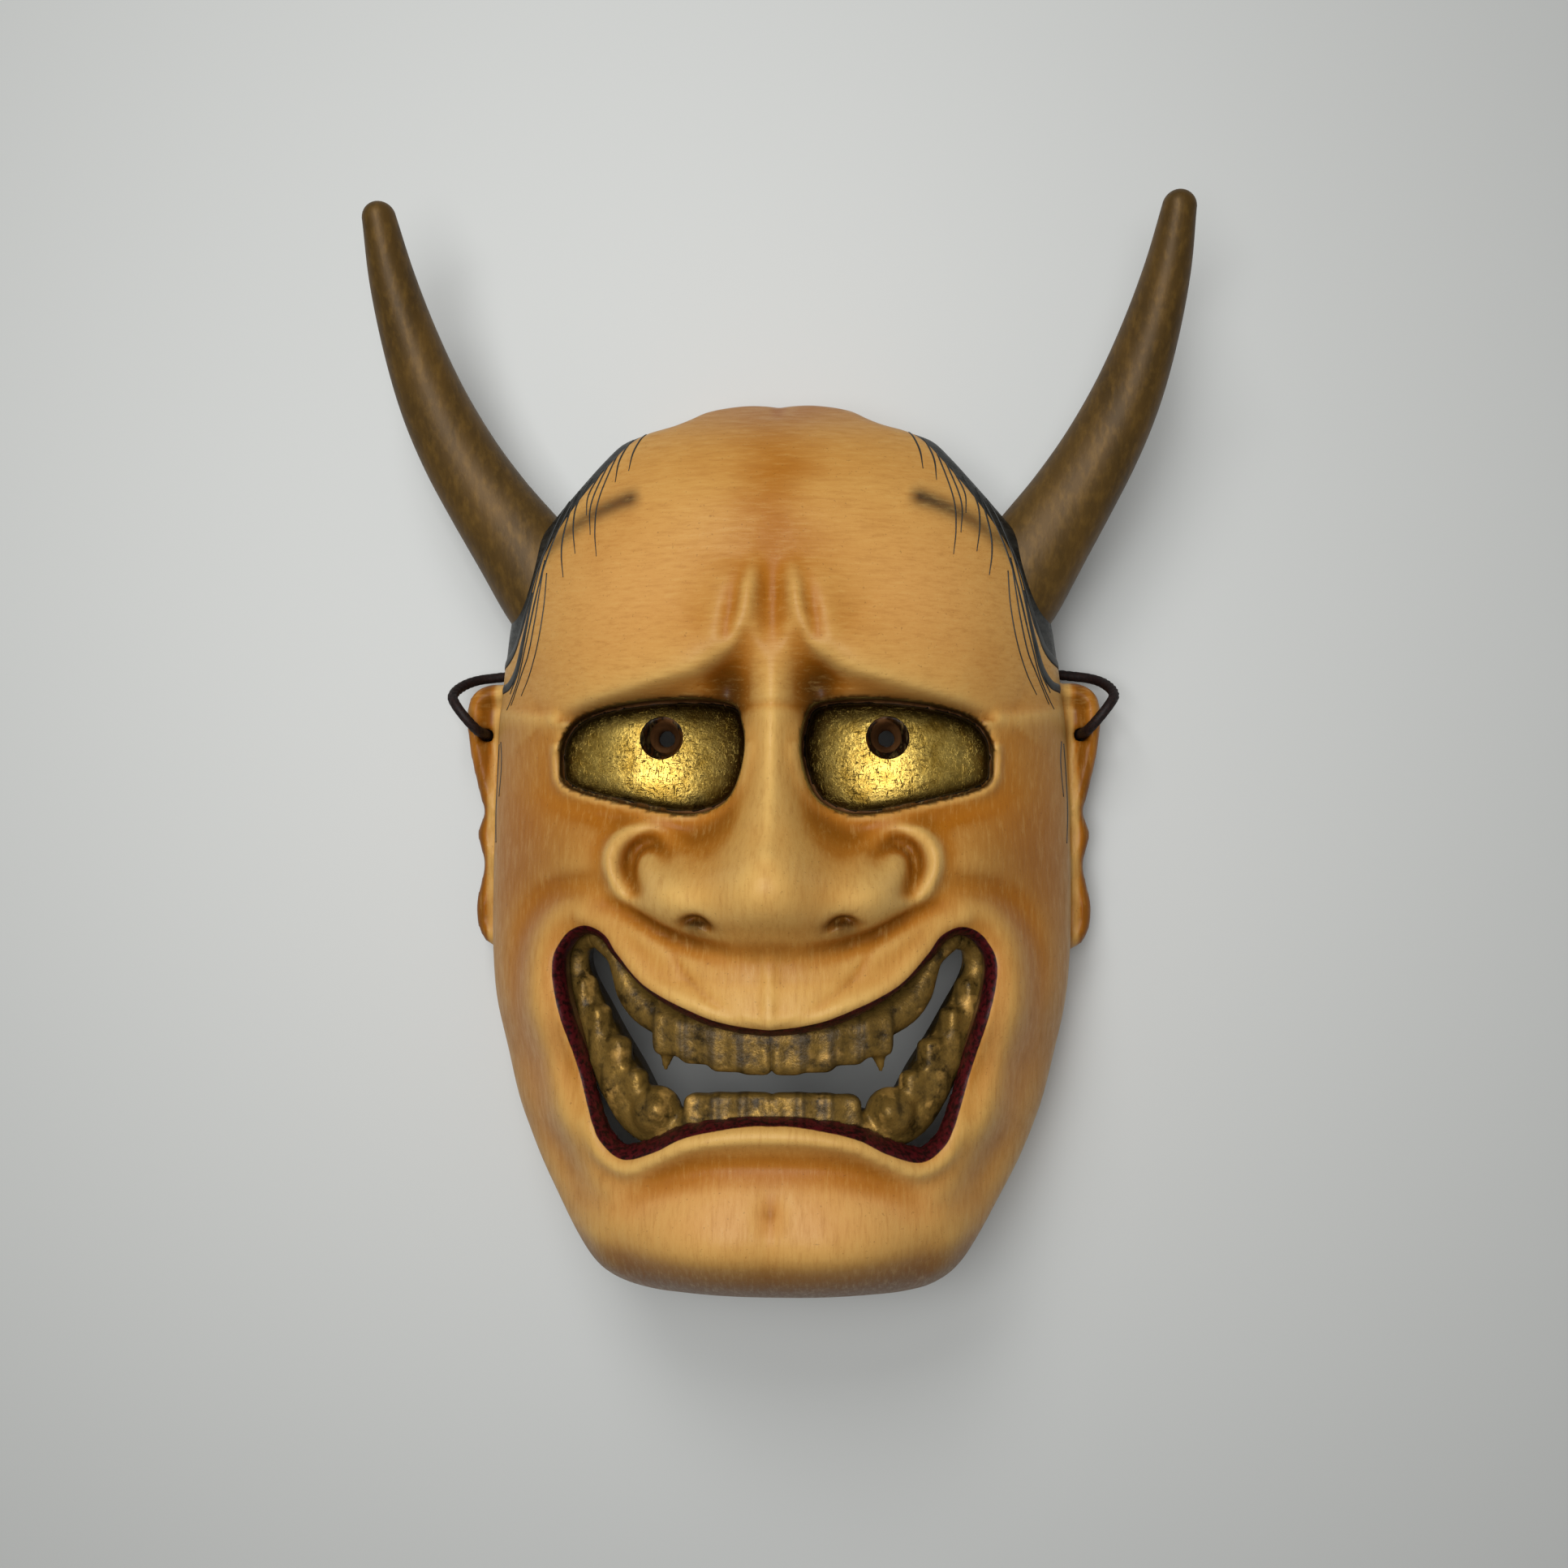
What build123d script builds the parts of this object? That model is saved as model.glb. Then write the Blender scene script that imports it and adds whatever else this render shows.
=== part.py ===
"""Carved wooden demon mask of the noh stage, with two horns, gilt eyes, gilt teeth and two tie cords.

The mask lies face up on its back rim. +Z points out of the face, +Y towards the crown, and +X is
the viewer's right. The origin is on the resting surface, under the middle of the whole mask.
Every length is in millimetres. "left" and "right" are the viewer's.
"""

import math
import os

from build123d import *

# ---- the face: one carved shell --------------------------------------------------------------
RIM_WIDTH = 8.0  # wood left round the hollow, at the back rim
WALL = 10.5  # wood between the face and the hollow
EDGE_HEIGHT = 6.0  # height that the face's cross-sections fall to at their ends
SECTION_PITCH, HOLLOW_PITCH = 5.0, 9.0  # spacing of the cross-sections of the face and the hollow
ACROSS_POINTS = 29  # points across one cross-section
ROUNDNESS = (2.4, 0.55)  # exponents of the cross-sections' arch
FLOOR_OF_SECTIONS = -12.0
TALLEST = 130.0
FACE_TOP, FACE_BOTTOM = 94.0, -133.0  # the cross-sections run a little past the outline
HOLLOW_STRETCH = 0.93  # the hollow's cross-sections, narrower than the face's

# (y, height) of the midline without the nose, and (y, half width) of the cross-sections
MIDLINE = [
    (-133, 6), (-126, 28), (-120, 48), (-114, 62), (-107, 69), (-96, 71), (-86, 70), (-80, 71.5),
    (-68, 68.5), (-54, 74.5), (-44, 72), (-28, 65), (-6, 59), (12, 61), (30, 65), (46, 62), (62, 56),
    (76, 44), (87, 23), (94, 7),
]
SECTION_HALF_WIDTH = [(-133, 43), (-108, 55), (-84, 65), (-60, 71), (-20, 73), (20, 71), (60, 65), (94, 44)]
NOSE_HEIGHT = [(-46, 0), (-39, 8), (-33, 19), (-25, 27), (-14, 21), (2, 12), (20, 5), (34, 0)]
NOSE_HALF_WIDTH = [(-46, 20), (-33, 17), (-24, 14.5), (-10, 9), (20, 6.5), (34, 5)]
NOSE_SQUARENESS = 2.6
BROW = (6.5, 34.4, 0.42, 6.5, 26.0, 21.0)  # height, y at the midline, climb, half width, middle x, reach
MOUTH_FOLD = (4.5, -60.0, 53.0, 33.0, 0.14, -90.0)  # height, centre y, half axes, thickness, lowest y
# (height, x, y, half width, half height) of the nose's wings, the cheeks and the eye hollows
SWELLINGS = [(7, 25, -24, 8, 8), (5, 42, -23, 18, 12), (-5, 27, 1, 22, 12)]

# half of the mask's outline seen from the front, from the crown to the chin
OUTLINE = [
    (11, 85.6), (24, 80.5), (38, 73.6), (46.4, 67.6), (54.2, 58.6), (60.4, 46), (64.2, 34), (67, 20),
    (69.2, 2), (70, -20), (69.6, -42), (66.8, -63), (59.8, -86), (50, -102), (39, -118.5), (29, -125.2),
]
CROWN_Y, CHIN_Y = 87.0, -126.0
OUTLINE_CENTRE_Y = -18.0

# ---- the rim is lifted under the ears, so that the cords pass below it ------------------------
RELIEF_HEIGHT = 8.5
RELIEF_FROM, RELIEF_TO = -46.0, 39.0
RELIEF_SLOPE = 6.0
RELIEF_ACROSS = 200.0  # wider than the mask
CUT_PAST = 1.0  # how far a cut runs past the face it opens

# ---- ears, carved from the same block ---------------------------------------------------------
EAR_BACK, EAR_FRONT = RELIEF_HEIGHT, 17.5
EAR_OUTLINE = [
    (66, 19), (72, 19.4), (76.6, 16.4), (77.6, 10), (76.4, 1), (74.4, -7), (73.6, -12), (74.8, -17.5),
    (73.6, -25), (75.3, -36), (72, -44.5), (66, -45),
]
EAR_ROOT_X = 60.0
CORD_HOLE = (73.0, 7.0)
CORD_HOLE_RADIUS = 1.7
CORD_HOLE_TOP = 40.0  # the hole's drill stops here, above the ear

# ---- eyes -------------------------------------------------------------------------------------
EYE_OUTLINE = [
    (6.3, 0.5), (6.8, 8.5), (10.5, 13), (26, 13), (41, 10.4), (47.6, 5.4), (48.6, 0), (46.4, -6.4),
    (33, -9.6), (19, -11.6), (10, -8.4),
]
EYEBALL_CENTRE = (26.5, -4.0, 24.0)
EYEBALL_RADIUS = 31.5  # over the gilt plate
EYE_PAD_BACK = 40.0  # the wood behind each eye is thicker, down to this height
EYE_PAD = (27.5, 0.5, 25.5, 16.0)  # centre and half axes of that thicker wood
EYE_PLATE_SCALE = 0.982  # the gilt plate is a little smaller than its socket
GLUE = 0.1  # under the gilt plate
EYE_PLATE = 0.9
PUPIL = (25.0, 5.2)
PUPIL_RADIUS = 4.8

# ---- nostrils ---------------------------------------------------------------------------------
NOSTRIL = (13.5, -33.5)
NOSTRIL_RADIUS = 2.2
NOSTRIL_FLOOR = 63.0

# ---- mouth ------------------------------------------------------------------------------------
MOUTH_TOP_Y, MOUTH_BOTTOM_Y = -55.3, -76.6
MOUTH_UPPER = [(15.9, -53), (26.5, -49), (34, -43.5), (37.4, -37.7), (41.3, -35.9), (45.7, -38.2)]
MOUTH_LOWER = [(48.4, -45.6), (43.5, -63), (38.6, -76.5), (35.8, -81.6), (31.9, -84.9), (24.9, -82.6),
               (17.8, -79.1), (7.3, -76.8)]
ARCH_RADIUS = 65.0  # front of the teeth, an upright cylinder across the mouth
ARCH_CENTRE = (0.0, -60.0, 1.5)
ARCH_LENGTH = 80.0
TEETH_DEPTH = 9.0
REBATE_GAP = 0.15  # round the gums, which sit in a rebate cut behind the lips
BEHIND_FACE = 20.0  # everything cut through the front starts from this height

# ---- teeth ------------------------------------------------------------------------------------
UPPER_GUM = [(16, -51.4), (27.5, -47.2), (35.4, -41), (39.5, -35.2), (41, -34)]
UPPER_BITE = [(41, -43.2), (38.2, -43.8), (34.6, -46.5), (30, -52.5), (25, -59.5), (20.5, -62.2),
              (10, -65.2)]
UPPER_GUM_Y, UPPER_BITE_Y = -53.6, -66.2
LOWER_GUM = [(41.4, -34), (46.6, -36.6), (50.1, -44.6), (45.6, -63), (40.4, -77.4), (37, -83.6),
             (32.2, -86.8), (23.8, -84.6), (16.4, -81)]
LOWER_BITE = [(10, -72.4), (18, -73.6), (26, -72.2), (31.5, -66), (36, -59.5), (40, -54), (42, -48.5),
              (41.4, -44)]
LOWER_GUM_Y, LOWER_BITE_Y = -78.6, -72.2
TOOTH_PITCH = 8.5  # degrees round the arch
TOOTH_GROOVE = 0.9
UPPER_GROOVES, LOWER_GROOVES = 6, 6
UPPER_GROOVE_ENDS, LOWER_GROOVE_ENDS = (-57.0, -70.0), (-68.0, -76.0)
GROOVE_DEPTH = 1.2
UPPER_FANG = (20.8, -60.5, 59.6)
LOWER_FANG = (28.0, -77.4, 55.4)
UPPER_FANG_LENGTH, LOWER_FANG_LENGTH = 8.0, 13.0
UPPER_FANG_RADII, LOWER_FANG_RADII = (2.6, 0.6), (4.4, 2.4)

# ---- horns ------------------------------------------------------------------------------------
HORN_SPINE = [(54.6, 41.5, 27.2), (61.5, 51.5, 29), (68.4, 61.6, 30.8), (75, 72.6, 33.4),
              (80.4, 84.2, 36.8), (84.6, 97, 41), (87.6, 110, 45.8), (89.2, 122.2, 50.8)]
HORN_RADII = [12.4, 11.2, 10.0, 8.9, 7.8, 6.6, 5.3, 3.8]
PEG_RADIUS = 4.0
PEG_FIT = 0.05
PEG_IN_HORN, PEG_IN_HEAD = 16.0, 9.5
PEG_START = (58.3, 46.8, 28.2)  # where the horn's spine leaves the head
BOSS_CENTRE, BOSS_RADIUS = (57.0, 45.0, 27.0), 17.5  # solid wood left behind each horn

# ---- cords ------------------------------------------------------------------------------------
CORD_DIAMETER = 2.4
CORD_ROUTE = [(73, 7, 7), (73, 7, 20), (75.3, 9.9, 23.8), (78.6, 14, 23.8), (80.8, 17, 19.6),
              (78, 20.8, 10.4), (70.8, 22, 6), (62.4, 23.2, 3.4), (53.6, 26, 1.8), (48.4, 31.4, 1.4),
              (47, 38.6, 1.4)]
SHARE_OF_RUN = 0.45
COIL_CENTRE = (24.6, 37.0)
COIL_OUTER, COIL_INNER, COIL_HEIGHT = 23.6, 16.0, 4.9
COIL_EDGE = 1.6
SURFACE_GAP = 0.1
KNOT_RADIUS, KNOT_HEIGHT, KNOT_EDGE = 3.5, 4.8, 1.7
KNOT_CENTRE_Z = 5.9
END_KNOT = (19.4, 62.6, 2.7)
END_KNOT_RADIUS = 2.6

SIDES = ("right", "left")


os.makedirs("parts", exist_ok=True)


def along(points, y):
    """Smooth curve through (y, value) points, read at y."""
    last = len(points) - 1
    k = next((i for i in range(last) if y <= points[i + 1][0]), last - 1)

    def slope(i):
        a, b = points[max(i - 1, 0)], points[min(i + 1, last)]
        return (b[1] - a[1]) / (b[0] - a[0])

    (y0, v0), (y1, v1) = points[k], points[k + 1]
    step = y1 - y0
    t = min(max((y - y0) / step, 0), 1)
    return (
        v0 * (1 + 2 * t) * (1 - t) ** 2
        + slope(k) * step * t * (1 - t) ** 2
        + v1 * t * t * (3 - 2 * t)
        - slope(k + 1) * step * t * t * (1 - t)
    )


def bump(u, v):
    """A round swelling, 1 at its middle, with u and v in units of its radii."""
    return math.exp(-u * u - v * v)


def arch(x, half_width):
    """The cross-section's own arch, from 1 on the midline to 0 at its ends."""
    power, flatten = ROUNDNESS
    return max(0.0, 1 - abs(x / half_width) ** power) ** flatten


def nose(x, y):
    """The nose: its ridge's own height, falling away to each side."""
    if not NOSE_HEIGHT[0][0] < y < NOSE_HEIGHT[-1][0]:
        return 0
    return along(NOSE_HEIGHT, y) * math.exp(-((x / along(NOSE_HALF_WIDTH, y)) ** NOSE_SQUARENESS))


def brow(x, y):
    """The knitted brow: a ridge that climbs towards the midline."""
    height, ridge_y, climb, half_width, middle_x, half_length = BROW
    off_ridge = (y - ridge_y + climb * x) / half_width
    return height * math.exp(-(off_ridge**2)) * math.exp(-(((x - middle_x) / half_length) ** 4))


def mouth_fold(x, y):
    """The fold that rings the mouth, down to the chin."""
    height, centre_y, half_width, half_height, thickness, lowest_y = MOUTH_FOLD
    if y < lowest_y:
        return 0
    ring = math.hypot(x / half_width, (y - centre_y) / half_height)
    return height * math.exp(-(((ring - 1) / thickness) ** 2))


def features(x, y):
    """What the carving adds to the plain arch: nose, brows, cheeks, mouth folds and eye hollows."""
    x = abs(x)
    swelled = sum(
        height * bump((x - at_x) / half_x, (y - at_y) / half_y)
        for height, at_x, at_y, half_x, half_y in SWELLINGS
    )
    return nose(x, y) + brow(x, y) + mouth_fold(x, y) + swelled


def plain(x, y):
    """The hollow is carved smooth: nothing is added to its arch."""
    return 0.0


def section(plane_y, height, half_width, extra):
    """One closed cross-section of the face or the hollow, on its own upright plane."""
    points = []
    for i in range(ACROSS_POINTS):
        turn = math.pi * (i / (ACROSS_POINTS - 1) - 0.5)
        x = half_width * math.sin(turn)
        rise = (height - EDGE_HEIGHT) * arch(x, half_width)
        points.append((x, EDGE_HEIGHT + rise + extra(x, plane_y)))
    with BuildSketch(Plane.XZ.offset(-plane_y)) as drawn:
        with BuildLine():
            top = Spline(*points)
            Polyline(
                top @ 1, (half_width, FLOOR_OF_SECTIONS), (-half_width, FLOOR_OF_SECTIONS), top @ 0
            )
        make_face()
    return drawn.sketch.faces()[0]


def stations(pitch):
    """The places of the cross-sections, from the chin to the crown."""
    count = round((FACE_TOP - FACE_BOTTOM) / pitch)
    return [FACE_BOTTOM + (FACE_TOP - FACE_BOTTOM) * i / count for i in range(count + 1)]


def mask_outline(inset):
    """The front outline, shrunk about its centre so that its sides move in by inset. Needs a sketch."""
    widest = max(x for x, _ in OUTLINE)
    tallest = (CROWN_Y - CHIN_Y) / 2
    shrink_x, shrink_y = 1 - inset / widest, 1 - inset / tallest

    def moved(x, y):
        return (x * shrink_x, OUTLINE_CENTRE_Y + (y - OUTLINE_CENTRE_Y) * shrink_y)

    side = [moved(x, y) for x, y in OUTLINE]
    crown, chin = moved(0, CROWN_Y), moved(0, CHIN_Y)
    with BuildSketch() as drawn:
        with BuildLine():
            Spline(crown, *side, tangents=((1, 0), (-1, -0.12)))
            Line(side[-1], (0, chin[1]))
            mirror(about=Plane.YZ)
        make_face()
    return drawn.sketch


def mirrored_face(run):
    """A face between the midline and a run of edges, with its mirror image across the midline."""
    with BuildSketch() as drawn:
        with BuildLine():
            add(run)
            mirror(about=Plane.YZ)
        make_face()
    return drawn.sketch


def mouth_outline():
    """The opening between the lips."""
    run = Curve() + [Spline((0, MOUTH_TOP_Y), *MOUTH_UPPER, *MOUTH_LOWER, (0, MOUTH_BOTTOM_Y))]
    return mirrored_face(run)


def teeth_outline(top_y, outer, inner, bottom_y):
    """One row of teeth with its gum."""
    first = Spline((0, top_y), *outer)
    corner = Line(outer[-1], inner[0])
    last = Spline(*inner, (0, bottom_y))
    return mirrored_face(Curve() + [first, corner, last])


def eye_outline(share):
    """The right eye's opening, shrunk to a share of its size about the middle of the eye."""
    mid_x, mid_y = EYE_PAD[:2]
    points = [(mid_x + (x - mid_x) * share, mid_y + (y - mid_y) * share) for x, y in EYE_OUTLINE]
    with BuildSketch() as drawn:
        with BuildLine():
            Spline(*points, periodic=True)
        make_face()
    return drawn.sketch


def prism(face, low, high=TALLEST):
    """The face raised from one height to another."""
    return extrude(Pos(0, 0, low) * face, amount=high - low)


def arch_drum(radius):
    """An upright drum across the mouth: the teeth stand on its side."""
    return Pos(*ARCH_CENTRE) * Rot(90, 0, 0) * Cylinder(radius, ARCH_LENGTH)


def both(part):
    """The part and its mirror image across the midline."""
    return [part, part.mirror(Plane.YZ)]


def write(part, name):
    """Label a finished piece and write it as its own STEP file."""
    part.label = name
    export_step(part, f"parts/{name}.step")


# ---- horns and their pegs -----------------------------------------------------------------------
horn_spine = Spline(*HORN_SPINE)


def horn_ring(centre, radius):
    """One round cross-section of the horn, square to its spine."""
    place = horn_spine.param_at_point(Vector(*centre))
    return Plane(origin=horn_spine @ place, z_dir=horn_spine % place) * Circle(radius).face()


horn_rings = [horn_ring(centre, radius) for centre, radius in zip(HORN_SPINE, HORN_RADII)]
with BuildPart() as horn_core:
    loft(horn_rings)
    with Locations(HORN_SPINE[-1]):
        Sphere(HORN_RADII[-1])

horn_way = Vector(*HORN_SPINE[1]) - Vector(*HORN_SPINE[0])
peg_axis = Plane(origin=PEG_START, z_dir=horn_way)
peg_length = PEG_IN_HORN + PEG_IN_HEAD
peg = peg_axis * Pos(0, 0, -PEG_IN_HEAD) * extrude(Circle(PEG_RADIUS), amount=peg_length)
peg_hole = (
    peg_axis * Pos(0, 0, -PEG_IN_HEAD - PEG_FIT)
    * extrude(Circle(PEG_RADIUS + PEG_FIT), amount=peg_length + 2 * PEG_FIT)
)

# ---- mask body ----------------------------------------------------------------------------------
face_envelope = loft(
    [
        section(y, along(MIDLINE, y), along(SECTION_HALF_WIDTH, y), features)
        for y in stations(SECTION_PITCH)
    ],
    ruled=True,
)
hollow_envelope = loft(
    [
        section(y, along(MIDLINE, y) - WALL, along(SECTION_HALF_WIDTH, y) * HOLLOW_STRETCH, plain)
        for y in stations(HOLLOW_PITCH)
    ],
    ruled=True,
)
pad_x, pad_y, pad_half_x, pad_half_y = EYE_PAD
eye_pad = prism(Pos(pad_x, pad_y) * Ellipse(pad_half_x, pad_half_y), EYE_PAD_BACK)
boss = Pos(*BOSS_CENTRE) * Sphere(BOSS_RADIUS)

whole_prism = prism(mask_outline(0), 0)
hollow_prism = prism(mask_outline(RIM_WIDTH), -CUT_PAST)

with BuildPart() as hollow:
    add(hollow_prism)
    add(hollow_envelope, mode=Mode.INTERSECT)
    for solid_place in both(boss) + both(eye_pad):
        add(solid_place, mode=Mode.SUBTRACT)

with BuildPart() as ear:
    with BuildSketch(Plane.XY.offset(EAR_BACK)):
        with BuildLine():
            Polyline(EAR_OUTLINE[-1], (EAR_ROOT_X, EAR_OUTLINE[-1][1]), (EAR_ROOT_X, EAR_OUTLINE[0][1]),
                     EAR_OUTLINE[0])
            Spline(*EAR_OUTLINE)
        make_face()
    extrude(amount=EAR_FRONT - EAR_BACK)

with BuildPart() as relief:
    with BuildSketch(Plane.YZ.offset(-RELIEF_ACROSS / 2)):
        Polygon(
            (RELIEF_FROM - RELIEF_SLOPE, -CUT_PAST), (RELIEF_TO + RELIEF_SLOPE, -CUT_PAST),
            (RELIEF_TO, RELIEF_HEIGHT), (RELIEF_FROM, RELIEF_HEIGHT), align=None,
        )
    extrude(amount=RELIEF_ACROSS)

eye_prism = prism(eye_outline(1), EYE_PAD_BACK + CUT_PAST)
eye_wood = Pos(*EYEBALL_CENTRE) * Sphere(EYEBALL_RADIUS - EYE_PLATE - GLUE)
pupil = prism(Pos(*PUPIL) * Circle(PUPIL_RADIUS), BEHIND_FACE)
nostril = prism(Pos(*NOSTRIL) * Circle(NOSTRIL_RADIUS), NOSTRIL_FLOOR)
cord_hole = prism(Pos(*CORD_HOLE) * Circle(CORD_HOLE_RADIUS), 0, CORD_HOLE_TOP)
upper_row = prism(teeth_outline(UPPER_GUM_Y, UPPER_GUM, UPPER_BITE, UPPER_BITE_Y), BEHIND_FACE)
lower_row = prism(teeth_outline(LOWER_BITE_Y, LOWER_BITE, LOWER_GUM, LOWER_GUM_Y), BEHIND_FACE)
rebate = arch_drum(ARCH_RADIUS + REBATE_GAP)
socket = eye_prism - eye_wood
mouth_cuts = [prism(mouth_outline(), BEHIND_FACE), upper_row & rebate, lower_row & rebate]

with BuildPart() as mask_body:
    add(whole_prism)
    add(face_envelope, mode=Mode.INTERSECT)
    add(hollow.part, mode=Mode.SUBTRACT)
    add(relief.part, mode=Mode.SUBTRACT)
    add(ear.part)
    add(ear.part.mirror(Plane.YZ))
    for tool in (socket, pupil, nostril, cord_hole, peg_hole):
        for handed_tool in both(tool):
            add(handed_tool, mode=Mode.SUBTRACT)
    for cut in mouth_cuts:
        add(cut, mode=Mode.SUBTRACT)
write(mask_body.part, "mask_body")

# ---- horns ----------------------------------------------------------------------------------------
head = whole_prism & face_envelope
with BuildPart() as horn:
    add(horn_core.part)
    add(head, mode=Mode.SUBTRACT)
    add(peg_hole, mode=Mode.SUBTRACT)
for side, part in zip(SIDES, both(horn.part)):
    write(part, f"horn_{side}")
for side, part in zip(SIDES, both(peg)):
    write(part, f"horn_peg_{side}")

# ---- eyes -----------------------------------------------------------------------------------------
plate_prism = prism(eye_outline(EYE_PLATE_SCALE), EYE_PAD_BACK)
plate_front = Pos(*EYEBALL_CENTRE) * Sphere(EYEBALL_RADIUS)
plate_back = Pos(*EYEBALL_CENTRE) * Sphere(EYEBALL_RADIUS - EYE_PLATE)
with BuildPart() as eye_plate:
    add(plate_prism)
    add(plate_front, mode=Mode.INTERSECT)
    add(plate_back, mode=Mode.SUBTRACT)
    add(pupil, mode=Mode.SUBTRACT)
for side, part in zip(SIDES, both(eye_plate.part)):
    write(part, f"eye_{side}")

# ---- teeth ----------------------------------------------------------------------------------------


def grooves(count, ends):
    """Upright cuts between neighbouring teeth, round the arch."""
    top_y, bottom_y = ends
    cut = Box(TOOTH_GROOVE, top_y - bottom_y, 2 * GROOVE_DEPTH)
    turns = [TOOTH_PITCH * (k + 0.5 - count / 2) for k in range(count)]
    middle = Pos(0, (top_y + bottom_y) / 2, ARCH_CENTRE[2])
    return [middle * Rot(0, turn, 0) * Pos(0, 0, ARCH_RADIUS) * cut for turn in turns]


def fang(base, length, radii, way):
    """A round pointed tooth standing on its base, along +Y or -Y."""
    wide, narrow = radii
    cone = Cone(wide, narrow, length, align=(Align.CENTER, Align.CENTER, Align.MIN))
    return Pos(*base) * Rot(-90 * way, 0, 0) * (cone + Pos(0, 0, length) * Sphere(narrow))


slab = arch_drum(ARCH_RADIUS) - arch_drum(ARCH_RADIUS - TEETH_DEPTH)


def teeth(row, fangs, cuts):
    """A row of teeth: its slab, its two fangs, and the cuts between its teeth."""
    made = row & slab
    for fang_part in fangs:
        made = made + fang_part
    for cut in cuts:
        made = made - cut
    return made


upper_fangs = both(fang(UPPER_FANG, UPPER_FANG_LENGTH, UPPER_FANG_RADII, -1))
write(teeth(upper_row, upper_fangs, grooves(UPPER_GROOVES, UPPER_GROOVE_ENDS)), "upper_teeth")
lower_fangs = both(fang(LOWER_FANG, LOWER_FANG_LENGTH, LOWER_FANG_RADII, 1))
write(teeth(lower_row, lower_fangs, grooves(LOWER_GROOVES, LOWER_GROOVE_ENDS)), "lower_teeth")

# ---- cords ----------------------------------------------------------------------------------------


def corner_radii(route):
    """The bend radius at each inner point of a route, from its runs and its turn."""
    points = [Vector(*point) for point in route]
    runs = [b - a for a, b in zip(points, points[1:])]
    radii = []
    for before, after in zip(runs, runs[1:]):
        half_turn = math.radians(before.get_angle(after)) / 2
        radii.append(SHARE_OF_RUN * min(before.length, after.length) / math.tan(half_turn))
    return radii


bends = corner_radii(CORD_ROUTE)
print("cord bend radii", [round(radius, 1) for radius in bends])
coil_x, coil_y = COIL_CENTRE
with BuildPart() as coil:
    with BuildSketch(Plane.XY.offset(SURFACE_GAP)):
        with Locations(COIL_CENTRE):
            Circle(COIL_OUTER)
            Circle(COIL_INNER, mode=Mode.SUBTRACT)
    extrude(amount=COIL_HEIGHT)
    fillet(coil.edges().filter_by(GeomType.CIRCLE), COIL_EDGE)

with BuildPart() as knot:
    with Locations((*CORD_HOLE, KNOT_CENTRE_Z)):
        Cylinder(KNOT_RADIUS, KNOT_HEIGHT)
    fillet(knot.edges(), KNOT_EDGE)

with BuildPart() as end_knot:
    with Locations(END_KNOT):
        Sphere(END_KNOT_RADIUS)
    add(coil.part, mode=Mode.SUBTRACT)

with BuildPart() as cord:
    with BuildLine() as cord_line:
        FilletPolyline(*CORD_ROUTE, radius=bends)
    with BuildSketch(Plane(origin=cord_line.line @ 0, z_dir=cord_line.line % 0)):
        Circle(CORD_DIAMETER / 2)
    sweep()
    cord_length = sum(edge.length for edge in cord_line.edges())
    print("cord tube volume over section times length",
          round(cord.part.volume / (math.pi * CORD_DIAMETER**2 / 4 * cord_length), 4))
    add(coil.part, mode=Mode.SUBTRACT)
    add(knot.part, mode=Mode.SUBTRACT)

for name, made in (("cord", cord), ("cord_coil", coil), ("cord_knot", knot), ("cord_end", end_knot)):
    for side, part in zip(SIDES, both(made.part)):
        write(part, f"{name}_{side}")
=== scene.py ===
"""Horned demon mask of the noh stage, lying face up on a pale table: looks, camera and light."""
import math

import bpy
import numpy as np
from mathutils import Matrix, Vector


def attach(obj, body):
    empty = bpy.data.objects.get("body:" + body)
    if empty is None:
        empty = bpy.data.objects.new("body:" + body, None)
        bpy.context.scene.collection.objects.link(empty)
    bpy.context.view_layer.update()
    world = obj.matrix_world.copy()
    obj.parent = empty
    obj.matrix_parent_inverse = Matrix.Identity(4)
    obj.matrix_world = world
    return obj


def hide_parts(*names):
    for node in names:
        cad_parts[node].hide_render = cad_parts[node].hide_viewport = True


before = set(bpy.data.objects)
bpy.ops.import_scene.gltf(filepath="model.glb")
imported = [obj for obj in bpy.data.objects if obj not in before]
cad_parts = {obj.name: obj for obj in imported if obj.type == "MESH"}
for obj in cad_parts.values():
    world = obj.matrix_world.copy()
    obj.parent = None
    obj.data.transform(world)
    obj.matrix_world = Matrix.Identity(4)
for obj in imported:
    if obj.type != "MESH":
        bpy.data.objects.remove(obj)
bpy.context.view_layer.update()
MM = 0.001

# Every length below is in millimetres in the row frame, and is turned into metres where a mesh is made.
# ---- the face's main shape, as in the CAD model but narrower at the crown ----
MIDLINE = [
    (-133, 6), (-126, 28), (-120, 48), (-114, 62), (-107, 69), (-96, 71), (-86, 70), (-80, 71.5),
    (-68, 68.5), (-54, 74.5), (-44, 72), (-28, 65), (-6, 59), (12, 61), (30, 65), (46, 62), (62, 56),
    (76, 44), (87, 23), (94, 7),
]
SECTION_HALF_WIDTH = [(-133, 43), (-108, 55), (-84, 65), (-60, 71), (-20, 73), (20, 71), (60, 65), (94, 44)]
NOSE_HEIGHT = [(-46, 0), (-40, 5), (-36, 13), (-32, 21), (-25, 27), (-14, 20), (2, 11), (16, 5), (30, 0)]
NOSE_HALF_WIDTH = [(-46, 20), (-36, 16.5), (-28, 15.5), (-20, 12.5), (-10, 8.5), (2, 6.8), (20, 5.6), (30, 5)]
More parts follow.
